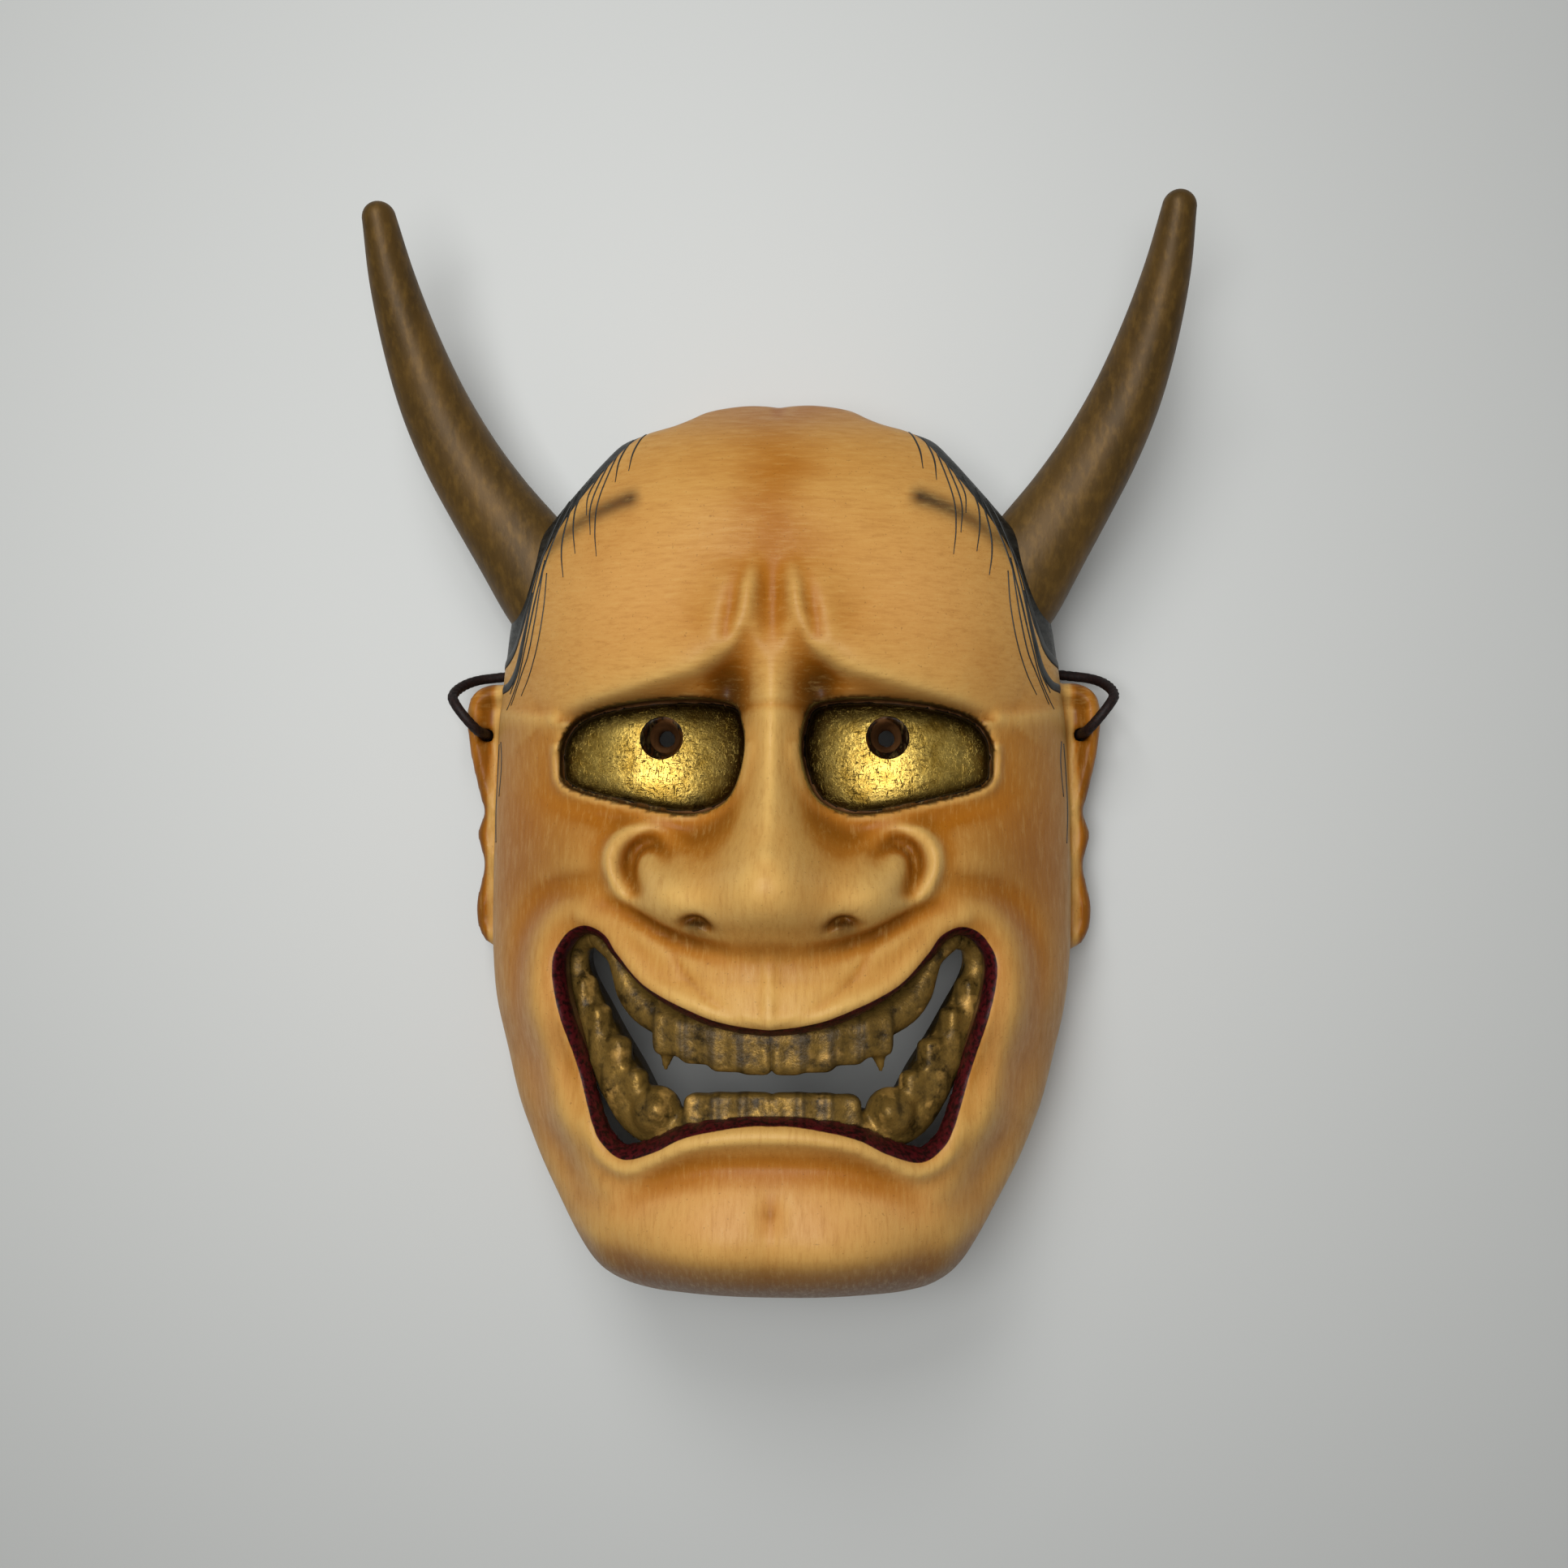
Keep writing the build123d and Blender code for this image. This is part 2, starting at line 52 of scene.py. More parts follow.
OUTLINE = [
    (0, 85.2), (7, 85.8), (13, 84.8), (17.6, 83), (20.8, 80.4), (24.6, 78.2), (30.4, 76.4), (35.9, 74.2),
    (40, 69.8), (45.2, 63.8), (51.4, 57), (56.2, 52), (60.2, 46),
    (64.2, 34), (67, 20), (69.2, 2), (70, -20), (69.6, -42), (66.8, -63), (59.8, -86), (50, -102),
    (39, -118.5), (29, -125.2), (0, -126),
]
EDGE_HEIGHT = 6.0
WALL = 10.5
RIM_WIDTH = 7.5
HOLLOW_STRETCH = 0.93
BOSS_CENTRE, BOSS_RADIUS = (57.0, 45.0, 27.0), 17.5
RELIEF_FROM, RELIEF_TO, RELIEF_HEIGHT = -46.0, 39.0, 8.5
EAR_OUTLINE = [
    (60, 18.8), (66, 19.2), (72, 19.4), (76.2, 17), (77.6, 12), (76.8, 3), (74.6, -7), (73.4, -12),
    (74.9, -17.4), (73.4, -25), (75.3, -35), (74, -42), (70, -45), (60, -45),
]
EAR_MIDDLE, EAR_HALF_THICKNESS = 13.0, 4.5
CORD_HOLE = (73.0, 7.0)
CORD_HOLE_RADIUS = 1.7
EYE_OUTLINE = [
    (6.3, 0.5), (6.8, 8.5), (10.5, 13), (26, 13.4), (41, 10.8), (47.2, 6.4), (48.6, 0), (46.4, -5.6),
    (33, -9.2), (19, -11.6), (10, -8.4),
]
EYEBALL_CENTRE = (26.5, -4.0, 24.0)
EYEBALL_RADIUS = 31.5
PUPIL = (25.0, 5.2)
PUPIL_RADIUS = 4.8
MOUTH_OUTLINE = [
    (0, -55.8), (9, -54.6), (15.9, -52.4), (26.5, -47.6), (33, -41.5), (36.4, -37.4), (41.3, -35.9),
    (46.2, -39), (48.4, -46.6), (43.5, -65), (39.2, -78), (36.2, -83.2), (31.6, -85.4), (24.9, -82.9),
    (17.8, -79.1), (7.3, -76.8), (0, -76.4),
]
ARCH_RADIUS, ARCH_CENTRE_Z = 65.0, 1.5

LIP_BAND = 2.3  # width of the sloping red wall inside the lips

LIP_DEPTH = 7.0  # depth over which that wall slopes inwards
GUM_ROOM = 2.6  # the gums reach this far behind the lips
OPENINGS_FROM = 20  # the mouth and the pupils are cut from here forwards
SOCKET_FROM = 41.0  # and the eye sockets from here
PUPIL_TAPER = 2.9  # the pupils narrow by this much behind the gilding
GRID = 0.45  # pitch of the relief map
VOXEL = (0.9, 0.9, 1.25)  # pitch of the carved body's mesh


def smooth_curve(points, count=16, closed=False):
    """Points along a Catmull-Rom curve through the given ones."""
    p = np.array(points, float)
    if closed:
        p = np.vstack([p[-1], p, p[0], p[1]])
    else:
        p = np.vstack([2 * p[0] - p[1], p, 2 * p[-1] - p[-2]])
    t = np.linspace(0, 1, count, endpoint=False)[:, None]
    spans = []
    for a, b, c, d in zip(p, p[1:], p[2:], p[3:]):
        spans.append(
            0.5 * (2 * b + (c - a) * t + (2 * a - 5 * b + 4 * c - d) * t**2 + (3 * b - a - 3 * c + d) * t**3)
        )
    if not closed:
        spans.append(p[-2][None, :])
    return np.vstack(spans)


def along(points, y):
    """Smooth function through (y, value) points."""
    p = np.array(points, float)
    slopes = np.gradient(p[:, 1], p[:, 0])
    k = np.clip(np.searchsorted(p[:, 0], y) - 1, 0, len(p) - 2)
    step = p[k + 1, 0] - p[k, 0]
    t = np.clip((y - p[k, 0]) / step, 0, 1)
    return (
        p[k, 1] * (1 + 2 * t) * (1 - t) ** 2
        + slopes[k] * step * t * (1 - t) ** 2
        + p[k + 1, 1] * t * t * (3 - 2 * t)
        - slopes[k + 1] * step * t * t * (1 - t)
    )


def arch(x, half_width):
    return np.clip(1 - np.abs(x / half_width) ** 2.4, 0, 1) ** 0.55


def ramp(value, start, span):
    """0 up to the start, and then rising evenly to 1."""
    return np.clip((value - start) / span, 0, 1)


def blob(x, y, cx, cy, rx, ry):
    return np.exp(-(((x - cx) / rx) ** 2) - ((y - cy) / ry) ** 2)


def nearest(x, y, line):
    """Signed distance to a polyline, positive on its left, and how far along it the nearest point is."""
    best = np.full(x.shape, 1e9)
    side = np.ones(x.shape)
    where = np.zeros(x.shape)
    last = len(line) - 1
    for i, (a, b) in enumerate(zip(line, line[1:])):
        ab = b - a
        t = np.clip(((x - a[0]) * ab[0] + (y - a[1]) * ab[1]) / (ab @ ab), 0, 1)
        dx, dy = x - a[0] - t * ab[0], y - a[1] - t * ab[1]
        d = dx * dx + dy * dy
        closer = d < best
        best = np.where(closer, d, best)
        side = np.where(closer, np.where(ab[0] * dy - ab[1] * dx >= 0, 1.0, -1.0), side)
        where = np.where(closer, (i + t) / last, where)
    return np.sqrt(best) * side, where


def stroke(x, y, points, heights, left, right):
    """A carved ridge or groove along a curve: its height at each point, and its width on each side."""
    line = smooth_curve(points, 8)
    d, t = nearest(x, y, line)
    height = np.interp(t, np.linspace(0, 1, len(heights)), heights)
    return height * np.exp(-((d / np.where(d >= 0, left, right)) ** 2))


def outline_distance(x, y, points, closed=True):
    """Signed distance to a closed outline, negative inside."""
    line = smooth_curve(points, 8, closed=closed)
    if closed:
        line = np.vstack([line, line[:1]])
    d = np.abs(nearest(x, y, line)[0])
    inside = np.zeros(x.shape, bool)
    loop = line if closed else np.vstack([line, line[:1]])
    for (ax, ay), (bx, by) in zip(loop, loop[1:]):
        if ay != by:
            crosses = (ay > y) != (by > y)
            inside ^= crosses & (x < ax + (y - ay) * (bx - ax) / (by - ay))
    return np.where(inside, -d, d)


def ball(x, y, z, centre, radius):
    """Signed distance to a ball, negative inside."""
    return np.sqrt((x - centre[0]) ** 2 + (y - centre[1]) ** 2 + (z - centre[2]) ** 2) - radius


def smooth_max(a, b, k):
    h = np.clip(0.5 + 0.5 * (a - b) / k, 0, 1)
    return b + (a - b) * h + k * h * (1 - h)


def smooth_min(a, b, k):
    return -smooth_max(-a, -b, k)


def blur(a, cells):
    """Three box blurs, close to a Gaussian."""
    for _ in range(3):
        for axis in (0, 1):
            pad = [(0, 0), (0, 0)]
            pad[axis] = (cells + 1, cells)
            total = np.cumsum(np.pad(a, pad, mode="edge"), axis=axis)
            n = a.shape[axis]
            hi = np.take(total, np.arange(2 * cells + 1, 2 * cells + 1 + n), axis=axis)
            lo = np.take(total, np.arange(n), axis=axis)
            a = (hi - lo) / (2 * cells + 1)
    return a


# ---- the relief of the face ----
# Every ridge and groove is a stroke on the right half (x > 0); the left half is its mirror image.
EYE_CURVE = smooth_curve(EYE_OUTLINE, 8, closed=True)
# (height, x, y, half width, half height) of the cheeks, eye hollows, nose wings, upper lip and chin
SWELLINGS = [
    (5.2, 42, -21, 15, 9.5), (2.2, 50, -4, 12, 14), (-3.0, 27, 2, 23, 12), (-5.5, 9.8, 15.5, 4.6, 6.2),
    (11.0, 21.5, -27.4, 8.6, 8.2), (3.6, 0, -49, 21, 7.5), (4.6, 13, -102, 20, 10),
]
# (route, heights along it, width on its left, width on its right)
STROKES = [
    # ridge of the nose, and the crease across its bridge
    ([(0, 26), (0, 8), (0, -19)], [0, 0.9, 1.1], 1.7, 1.7),
    ([(-7, 11.6), (0, 11.9), (7, 11.6)], [-0.7, -1.3, -0.7], 0.9, 0.9),
    # brow, the ridge out to the temple, and the folds over the nose
    ([(52, 9), (47, 12.2), (40, 14.2), (31, 16.4), (21, 19), (13.5, 21.4), (9.5, 25), (7.3, 30), (5.6, 37),
      (4.6, 43)], [0.6, 2.6, 4.2, 4.8, 5.0, 4.8, 4.4, 3.4, 2.2, 0.2], 2.6, 9.0),
    ([(50, 9.2), (60, 10.4), (70, 12.5)], [2.0, 1.6, 0.8], 1.6, 8.0),
    ([(5.2, 44), (7.4, 38), (8.8, 32), (9.6, 27)], [0.0, -0.7, -1.5, -1.2], 1.7, 1.7),
    ([(4.5, 45), (4.6, 37), (4.0, 29), (3.4, 23)], [0.0, 1.5, 1.7, 0.4], 2.2, 2.2),
    ([(0.6, 44), (0.8, 36), (0.8, 26)], [0.0, -0.9, -0.3], 1.3, 1.3),
    # groove under the eye
    ([(10, -13.4), (17, -16), (27, -14.8), (38, -12), (48, -9.5), (56, -5)],
     [-0.8, -1.9, -1.6, -1.3, -0.7, -0.1], 3.0, 3.0),
    # wing of the nose: its curl, its rim, the fold under it and the nostril
    ([(22.6, -19.8), (26, -18), (29.6, -19.2), (30.8, -23), (29.2, -27.4)],
     [-2.2, -4.6, -5.8, -5.6, -3.2], 2.3, 2.3),
    ([(20.5, -18), (23.5, -15.6), (28, -14.4), (32.2, -15.6), (34.8, -19.5), (34.6, -24), (32.5, -28.4),
      (29.2, -31.2)], [0.4, 1.5, 2.4, 2.9, 3.0, 2.6, 1.7, 0.5], 1.8, 2.8),
    ([(10, -39.4), (16, -38.4), (22, -36.4), (27.6, -33.6), (33, -31.4), (38, -30.6)],
     [-1.2, -3.4, -4.4, -4.2, -2.6, -0.8], 2.0, 2.4),
    ([(12.2, -34.4), (14.2, -33), (16.6, -33), (18.6, -34.2)], [-2.5, -5.0, -5.0, -2.0], 1.0, 1.0),
    # upper lip: its middle ridge, a slanting crease and its edge
    ([(0, -38), (0, -46), (0, -55.5)], [0.2, 0.9, 0.7], 1.3, 1.3),
    ([(21.5, -38.6), (17.6, -45), (10, -51.2), (2, -55)], [-0.2, -0.7, -0.7, -0.1], 0.9, 0.9),
    ([(0, -54.2), (9, -53), (15.5, -50.8), (26, -46), (32, -40), (36.2, -36), (41.3, -34)],
     [1.2, 1.4, 1.4, 1.2, 1.0, 0.8, 0.8], 1.8, 1.8),
    # the fold round the mouth, and the groove outside it
    ([(29, -34.4), (35, -32.2), (42, -31.6), (48.5, -34.5), (52.4, -42), (52.6, -54), (50, -66), (46.5, -77),
      (42, -86), (37, -91.5)], [0.5, 1.5, 1.9, 2.1, 2.4, 2.6, 2.5, 2.2, 1.5, 0.3], 4.6, 3.6),
    ([(32, -28.6), (41, -27.2), (50, -29.6), (56.5, -37), (59, -48), (58, -62)],
     [-0.6, -1.7, -1.9, -1.5, -1.0, -0.3], 3.2, 3.2),
    # lower lip, the groove below it, the hollow under the cheek, and the chin
    ([(0, -78.6), (8, -79), (17.5, -81), (24.5, -84.6), (31.6, -87.4), (37.6, -85), (41, -79)],
     [2.4, 2.4, 2.5, 2.6, 2.6, 2.2, 0.8], 2.2, 2.2),
    ([(0, -85.4), (12, -86.4), (22, -90), (30, -94.5), (38, -97)], [-1.7, -1.7, -2.0, -1.9, -0.8], 3.8, 3.8),
    ([(56, -70), (52, -82), (46, -92), (41, -100)], [-0.6, -2.2, -2.6, -0.8], 5.0, 5.0),
    ([(36, -96), (40, -104), (37, -113), (28, -119)], [0.6, 2.0, 2.2, 0.8], 5.0, 5.0),
    ([(0, -90.5), (0, -95), (0, -100)], [-0.2, -1.7, -0.1], 2.4, 2.4),
    # cleft in the crown
    ([(0, 89), (0, 84), (0, 78)], [-1.6, -1.0, 0.0], 1.6, 1.6),
]
LID_HEIGHT, LID_OFFSET, LID_WIDTH = 1.3, 0.8, 1.4  # the raised edge of the eye socket
LID_TOP_SHARE, LID_TOP_FROM = 0.35, 4  # it is lower above this height, under the brow


def relief(x, y):
    """Height of the face over the plane it rests on, without its openings."""
    x = np.abs(x)
    height, width = along(MIDLINE, y), along(SECTION_HALF_WIDTH, y)
    z = EDGE_HEIGHT + (height - EDGE_HEIGHT) * arch(x, width)
    nose = np.where((y > -46) & (y < 30), along(NOSE_HEIGHT, y), 0)
    z = z + nose * np.exp(-((x / along(NOSE_HALF_WIDTH, y)) ** 2.3))
    for height, *place in SWELLINGS:
        z += height * blob(x, y, *place)
    for route, heights, left, right in STROKES:
        z += stroke(x, y, route, heights, left, right)
    lid = np.abs(nearest(x, y, np.vstack([EYE_CURVE, EYE_CURVE[:1]]))[0])
    share = np.where(y < LID_TOP_FROM, 1, LID_TOP_SHARE)
    z += LID_HEIGHT * np.exp(-(((lid - LID_OFFSET) / LID_WIDTH) ** 2)) * share
    z += HAIR_STEP * 0.5 * (1 + np.tanh(hair_distance(x, y) / 0.7))
    return z


HAIR_STEP = 0.9
HAIRLINE = [
    (24, 92), (29, 79), (31.5, 75.2), (34.6, 72), (38, 67.8), (42.8, 62), (47.8, 55.6), (51.8, 50),
    (54.9, 44), (57.2, 36), (58.8, 31), (60.8, 27.4), (63.8, 25.2), (68, 24.4), (84, 24.2),
]


def hair_distance(x, y):
    """Signed distance to the hairline, positive on the bare forehead."""
    return -nearest(np.abs(x), y, smooth_curve(HAIRLINE, 6))[0]


class Map:
    """A function of x and y, sampled once and read anywhere by interpolation."""

    def __init__(self, function, reach=(82.0, -134.0, 96.0)):
        self.low = np.array([0.0, reach[1]])
        nx = int(reach[0] / GRID) + 2
        ny = int((reach[2] - reach[1]) / GRID) + 2
        self.x, self.y = np.meshgrid(np.arange(nx) * GRID, reach[1] + np.arange(ny) * GRID, indexing="ij")
        self.values = function(self.x, self.y) if callable(function) else function

    def __call__(self, x, y):
        u = np.clip(np.abs(x) / GRID, 0, self.values.shape[0] - 1.001)
        v = np.clip((y - self.low[1]) / GRID, 0, self.values.shape[1] - 1.001)
        i, j = u.astype(int), v.astype(int)
        u, v = u - i, v - j
        a = self.values
        near = a[i, j] * (1 - u) + a[i + 1, j] * u
        far = a[i, j + 1] * (1 - u) + a[i + 1, j + 1] * u
        return near * (1 - v) + far * v


FACE = Map(relief)
slope_x, slope_y = np.gradient(FACE.values, GRID)
FACE_FLATTEN = Map(1 / np.sqrt(1 + np.minimum(slope_x**2 + slope_y**2, 25)))
RIM_DISTANCE = Map(lambda x, y: outline_distance(x, y, [(-a, b) for a, b in OUTLINE[::-1]][:-1] + OUTLINE))
EYE_DISTANCE = Map(lambda x, y: outline_distance(x, y, EYE_OUTLINE))
WHOLE_MOUTH = MOUTH_OUTLINE + [(-a, b) for a, b in MOUTH_OUTLINE[-2:0:-1]]
MOUTH_DISTANCE = Map(lambda x, y: outline_distance(x, y, WHOLE_MOUTH))
HAIR_DISTANCE = Map(hair_distance)
HOLLOW = Map(
    lambda x, y: EDGE_HEIGHT
    + (along(MIDLINE, y) - WALL - EDGE_HEIGHT) * arch(x, along(SECTION_HALF_WIDTH, y) * HOLLOW_STRETCH)
)


def carved_field(x, y, z):
    """Signed distance to the carved block, negative in the wood. x is never negative."""
    rim = RIM_DISTANCE(x, y)
    outer = smooth_max((z - FACE(x, y)) * FACE_FLATTEN(x, y), rim, 2.5)
    outer = smooth_max(outer, -z, 0.8)
    inner = smooth_max((z - HOLLOW(x, y)) * 0.8, rim + RIM_WIDTH, 6.0)
    boss = ball(x, y, z, BOSS_CENTRE, BOSS_RADIUS)
    inner = smooth_max(inner, -boss, 3.0)
    eye = EYE_DISTANCE(x, y)
    pad = smooth_max(eye - 4.0, SOCKET_FROM - z, 3.0)
    inner = smooth_max(inner, -pad, 3.0)
    body = smooth_max(outer, -inner, 1.2)
    # the rim is lifted under the ears
    lift = np.maximum(z - RELIEF_HEIGHT, np.maximum(RELIEF_FROM - 3 - y, y - RELIEF_TO - 3))
    body = smooth_max(body, -lift, 1.0)
    # ears
    ear = EAR_DISTANCE(x, y)
    helix = 1.3 * np.exp(-((ear + 2.4) / 1.5) ** 2) - 1.6 * np.exp(-((ear + 6.5) / 2.2) ** 2)
    slab = np.abs(z - EAR_MIDDLE) - EAR_HALF_THICKNESS - np.where(z > EAR_MIDDLE, helix, 0)
    ear_solid = smooth_max(ear, slab, 2.0)
    body = smooth_min(body, ear_solid, 2.0)
    hole = np.hypot(x - CORD_HOLE[0], y - CORD_HOLE[1]) - CORD_HOLE_RADIUS
    body = smooth_max(body, -hole, 0.6)
    # eye sockets down to the eyeballs, and the pupils through them
    eyeball = ball(x, y, z, EYEBALL_CENTRE, EYEBALL_RADIUS - 1.0)
    socket = np.maximum(np.maximum(eye, -eyeball), SOCKET_FROM - z)
    body = smooth_max(body, -socket, 0.8)
    taper = PUPIL_TAPER * ramp(-z, -54, 10)
    pupil = np.maximum(np.hypot(x - PUPIL[0], y - PUPIL[1]) - PUPIL_RADIUS + taper, OPENINGS_FROM - z)
    body = np.maximum(body, -pupil)
    # mouth, and the room for the gums behind the lips
    mouth = MOUTH_DISTANCE(x, y)
    front = ARCH_CENTRE_Z + np.sqrt(np.maximum(ARCH_RADIUS**2 - x**2, 0))
    depth = np.clip((FACE(x, y) - z) / LIP_DEPTH, 0, 1)
    band = LIP_BAND + 0.7 * blob(x, y, 0, -53, 14, 5) - 1.1 * blob(x, y, 27, -46, 9, 7)
    band -= 1.1 * blob(x, y, 0, -78, 26, 6)
    body = smooth_max(body, -np.maximum(mouth + band * depth * (2 - depth), OPENINGS_FROM - z), 1.0)
    gum_room = np.maximum(np.maximum(mouth - GUM_ROOM, z - front - 0.6), OPENINGS_FROM - z)
    return np.maximum(body, -gum_room)


EAR_DISTANCE = Map(lambda x, y: outline_distance(x, y, EAR_OUTLINE))


# ---- meshes from fields ----
def surface_net(field, low, pitch, mirror=False):
    """Quads on the zero surface of a sampled field. With mirror, the field is its x >= 0 half."""
    if mirror:
        field = np.concatenate([field[:0:-1], field], axis=0)
        low = np.array([-(field.shape[0] // 2) * pitch[0], low[1], low[2]])
    inside = field < 0
    cells = tuple(n - 1 for n in field.shape)
    total = np.zeros(cells + (3,), np.float32)
    count = np.zeros(cells, np.float32)
    edges = []
    for axis in range(3):
        a = [slice(None)] * 3
        b = [slice(None)] * 3
        a[axis], b[axis] = slice(0, -1), slice(1, None)
        fa, fb = field[tuple(a)], field[tuple(b)]
        crossing = inside[tuple(a)] != inside[tuple(b)]
        t = np.where(crossing, fa / np.where(crossing, fa - fb, 1), 0).astype(np.float32)
        others = [k for k in range(3) if k != axis]
        for p in (0, 1):
            for q in (0, 1):
                s = [slice(None)] * 3
                s[others[0]] = slice(p, p + cells[others[0]])
                s[others[1]] = slice(q, q + cells[others[1]])
                s = tuple(s)
                count += crossing[s]
                total[..., axis] += t[s]
                total[..., others[0]] += p * crossing[s]
                total[..., others[1]] += q * crossing[s]
        edges.append((axis, crossing, inside[tuple(a)]))
    active = count > 0
    index = np.full(cells, -1, np.int64)
    index[active] = np.arange(active.sum())
    at = np.argwhere(active)
    points = (at + total[active] / count[active][:, None]) * np.array(pitch) + np.array(low)
    quads = []
    for axis, crossing, starts_inside in edges:
        u, v = (axis + 1) % 3, (axis + 2) % 3
        where = np.argwhere(crossing)
        keep = np.ones(len(where), bool)
        for k in (u, v):
            keep &= (where[:, k] > 0) & (where[:, k] < cells[k])
        where = where[keep]
        flip = starts_inside[tuple(where.T)]
        corners = []
        for du, dv in ((-1, -1), (0, -1), (0, 0), (-1, 0)):
            c = where.copy()
            c[:, u] += du
            c[:, v] += dv
            corners.append(index[tuple(c.T)])
        ring = np.stack(corners, axis=1)
        quads.append(np.where(flip[:, None], ring, ring[:, ::-1]))
    return points, np.vstack(quads)


def add_piece(name, mesh, material):
    """A mesh as an object that rides on the one body."""
    mesh.materials.append(material)
    piece = bpy.data.objects.new(name, mesh)
    bpy.context.scene.collection.objects.link(piece)
    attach(piece, "root")
    return piece


def make_mesh(name, points, faces, material, colours=None):
    """A piece in metres from points in millimetres and quads, with colours painted on its points."""
    mesh = bpy.data.meshes.new(name)
    faces = np.asarray(faces)
    mesh.vertices.add(len(points))
    mesh.vertices.foreach_set("co", (np.asarray(points, float) * MM).astype(np.float32).ravel())
    mesh.loops.add(faces.size)
    mesh.loops.foreach_set("vertex_index", faces.ravel().astype(np.int32))
    mesh.polygons.add(len(faces))
    mesh.polygons.foreach_set("loop_start", np.arange(0, faces.size, faces.shape[1], dtype=np.int32))
    mesh.polygons.foreach_set("use_smooth", np.ones(len(faces), bool))
    mesh.update(calc_edges=True)
    mesh.validate()
    for key, values in (colours or {}).items():
        layer = mesh.color_attributes.new(key, "FLOAT_COLOR", "POINT")
        rgba = np.ones((len(points), 4), np.float32)
        rgba[:, : values.shape[1]] = values
        layer.data.foreach_set("color", rgba.ravel())
    return add_piece(name, mesh, material)


def ring_quads(rings, sides):
    """Quads between rings of points that follow one another."""
    k = np.arange(rings - 1)[:, None] * sides
    j = np.arange(sides)[None, :]
    n = (j + 1) % sides
    return np.stack([k + j, k + n, k + n + sides, k + j + sides], axis=-1).reshape(-1, 4)


# ---- materials ----
class Nodes:
    """A material's node tree, with short calls for the nodes used here."""

    def __init__(self, name):
        self.material = bpy.data.materials.new(name)
        self.material.use_nodes = True
        self.tree = self.material.node_tree
        self.shader = self.tree.nodes["Principled BSDF"]

    def put(self, kind, inputs=None, **settings):
        node = self.tree.nodes.new(kind)
        for key, value in settings.items():
            setattr(node, key, value)
        for key, value in (inputs or {}).items():
            if isinstance(value, bpy.types.NodeSocket):
                self.tree.links.new(value, node.inputs[key])
            else:
                node.inputs[key].default_value = value
        return node

    def place(self, scale=(1, 1, 1)):
        """Object coordinates, stretched."""
        at = self.put("ShaderNodeTexCoord").outputs["Object"]
        return self.put("ShaderNodeMapping", {"Vector": at, "Scale": scale}).outputs["Vector"]

    def noise(self, scale, stretch=(1, 1, 1), detail=4.0, roughness=0.6, distortion=0.0):
        place = self.place(stretch)
        inputs = {"Vector": place, "Scale": scale, "Detail": detail, "Roughness": roughness}
        return self.put("ShaderNodeTexNoise", {**inputs, "Distortion": distortion}).outputs["Fac"]

    def spread(self, value, low, high, to_low=0.0, to_high=1.0):
        return self.put(
            "ShaderNodeMapRange",
            {"Value": value, "From Min": low, "From Max": high, "To Min": to_low, "To Max": to_high},
        ).outputs["Result"]

    def math(self, operation, a, b=0.0):
        return self.put("ShaderNodeMath", {0: a, 1: b}, operation=operation).outputs[0]

    def times(self, a, b):
        return self.math("MULTIPLY", a, b)

    def plus(self, a, b):
        return self.math("ADD", a, b)

    def mix(self, share, a, b):
        node = self.put("ShaderNodeMix", data_type="RGBA", blend_type="MIX")
        for socket, value in ((node.inputs[0], share), (node.inputs[6], a), (node.inputs[7], b)):
            if isinstance(value, bpy.types.NodeSocket):
                self.tree.links.new(value, socket)
            else:
                socket.default_value = value if not isinstance(value, tuple) else (*value, 1.0)[:4]
        return node.outputs[2]

    def paint(self, layer):
        return self.put("ShaderNodeVertexColor", layer_name=layer).outputs["Color"]

    def bump(self, height, strength, distance):
        inputs = {"Height": height, "Strength": strength, "Distance": distance}
        return self.put("ShaderNodeBump", inputs).outputs["Normal"]

    def finish(self, **sockets):
        for key, value in sockets.items():
            socket = self.shader.inputs[key.replace("_", " ")]
            if isinstance(value, bpy.types.NodeSocket):
                self.tree.links.new(value, socket)
            elif isinstance(value, tuple):
                socket.default_value = (*value, 1.0)
            else:
                socket.default_value = value
        return self.material


def tone(red, green, blue):
    """Linear colour from 0 to 255 display values."""
    values = [c / 255 for c in (red, green, blue)]
    return tuple(c / 12.92 if c <= 0.04045 else ((c + 0.055) / 1.055) ** 2.4 for c in values)


PEACH = tone(192, 141, 70)
PALE = tone(208, 168, 96)
OCHRE = tone(160, 96, 16)
BROWN = tone(100, 58, 8)
UMBER = tone(34, 22, 9)
PINK = tone(206, 148, 88)
HAIR_BLACK = tone(26, 27, 26)
# painted shade for the walls of the pupil holes
PUPIL_SHADE = tone(10, 8, 6)


PAINTED_BROW = [(29, 59), (35, 57.4), (41.4, 55), (46.4, 52.4), (53, 48.4)]


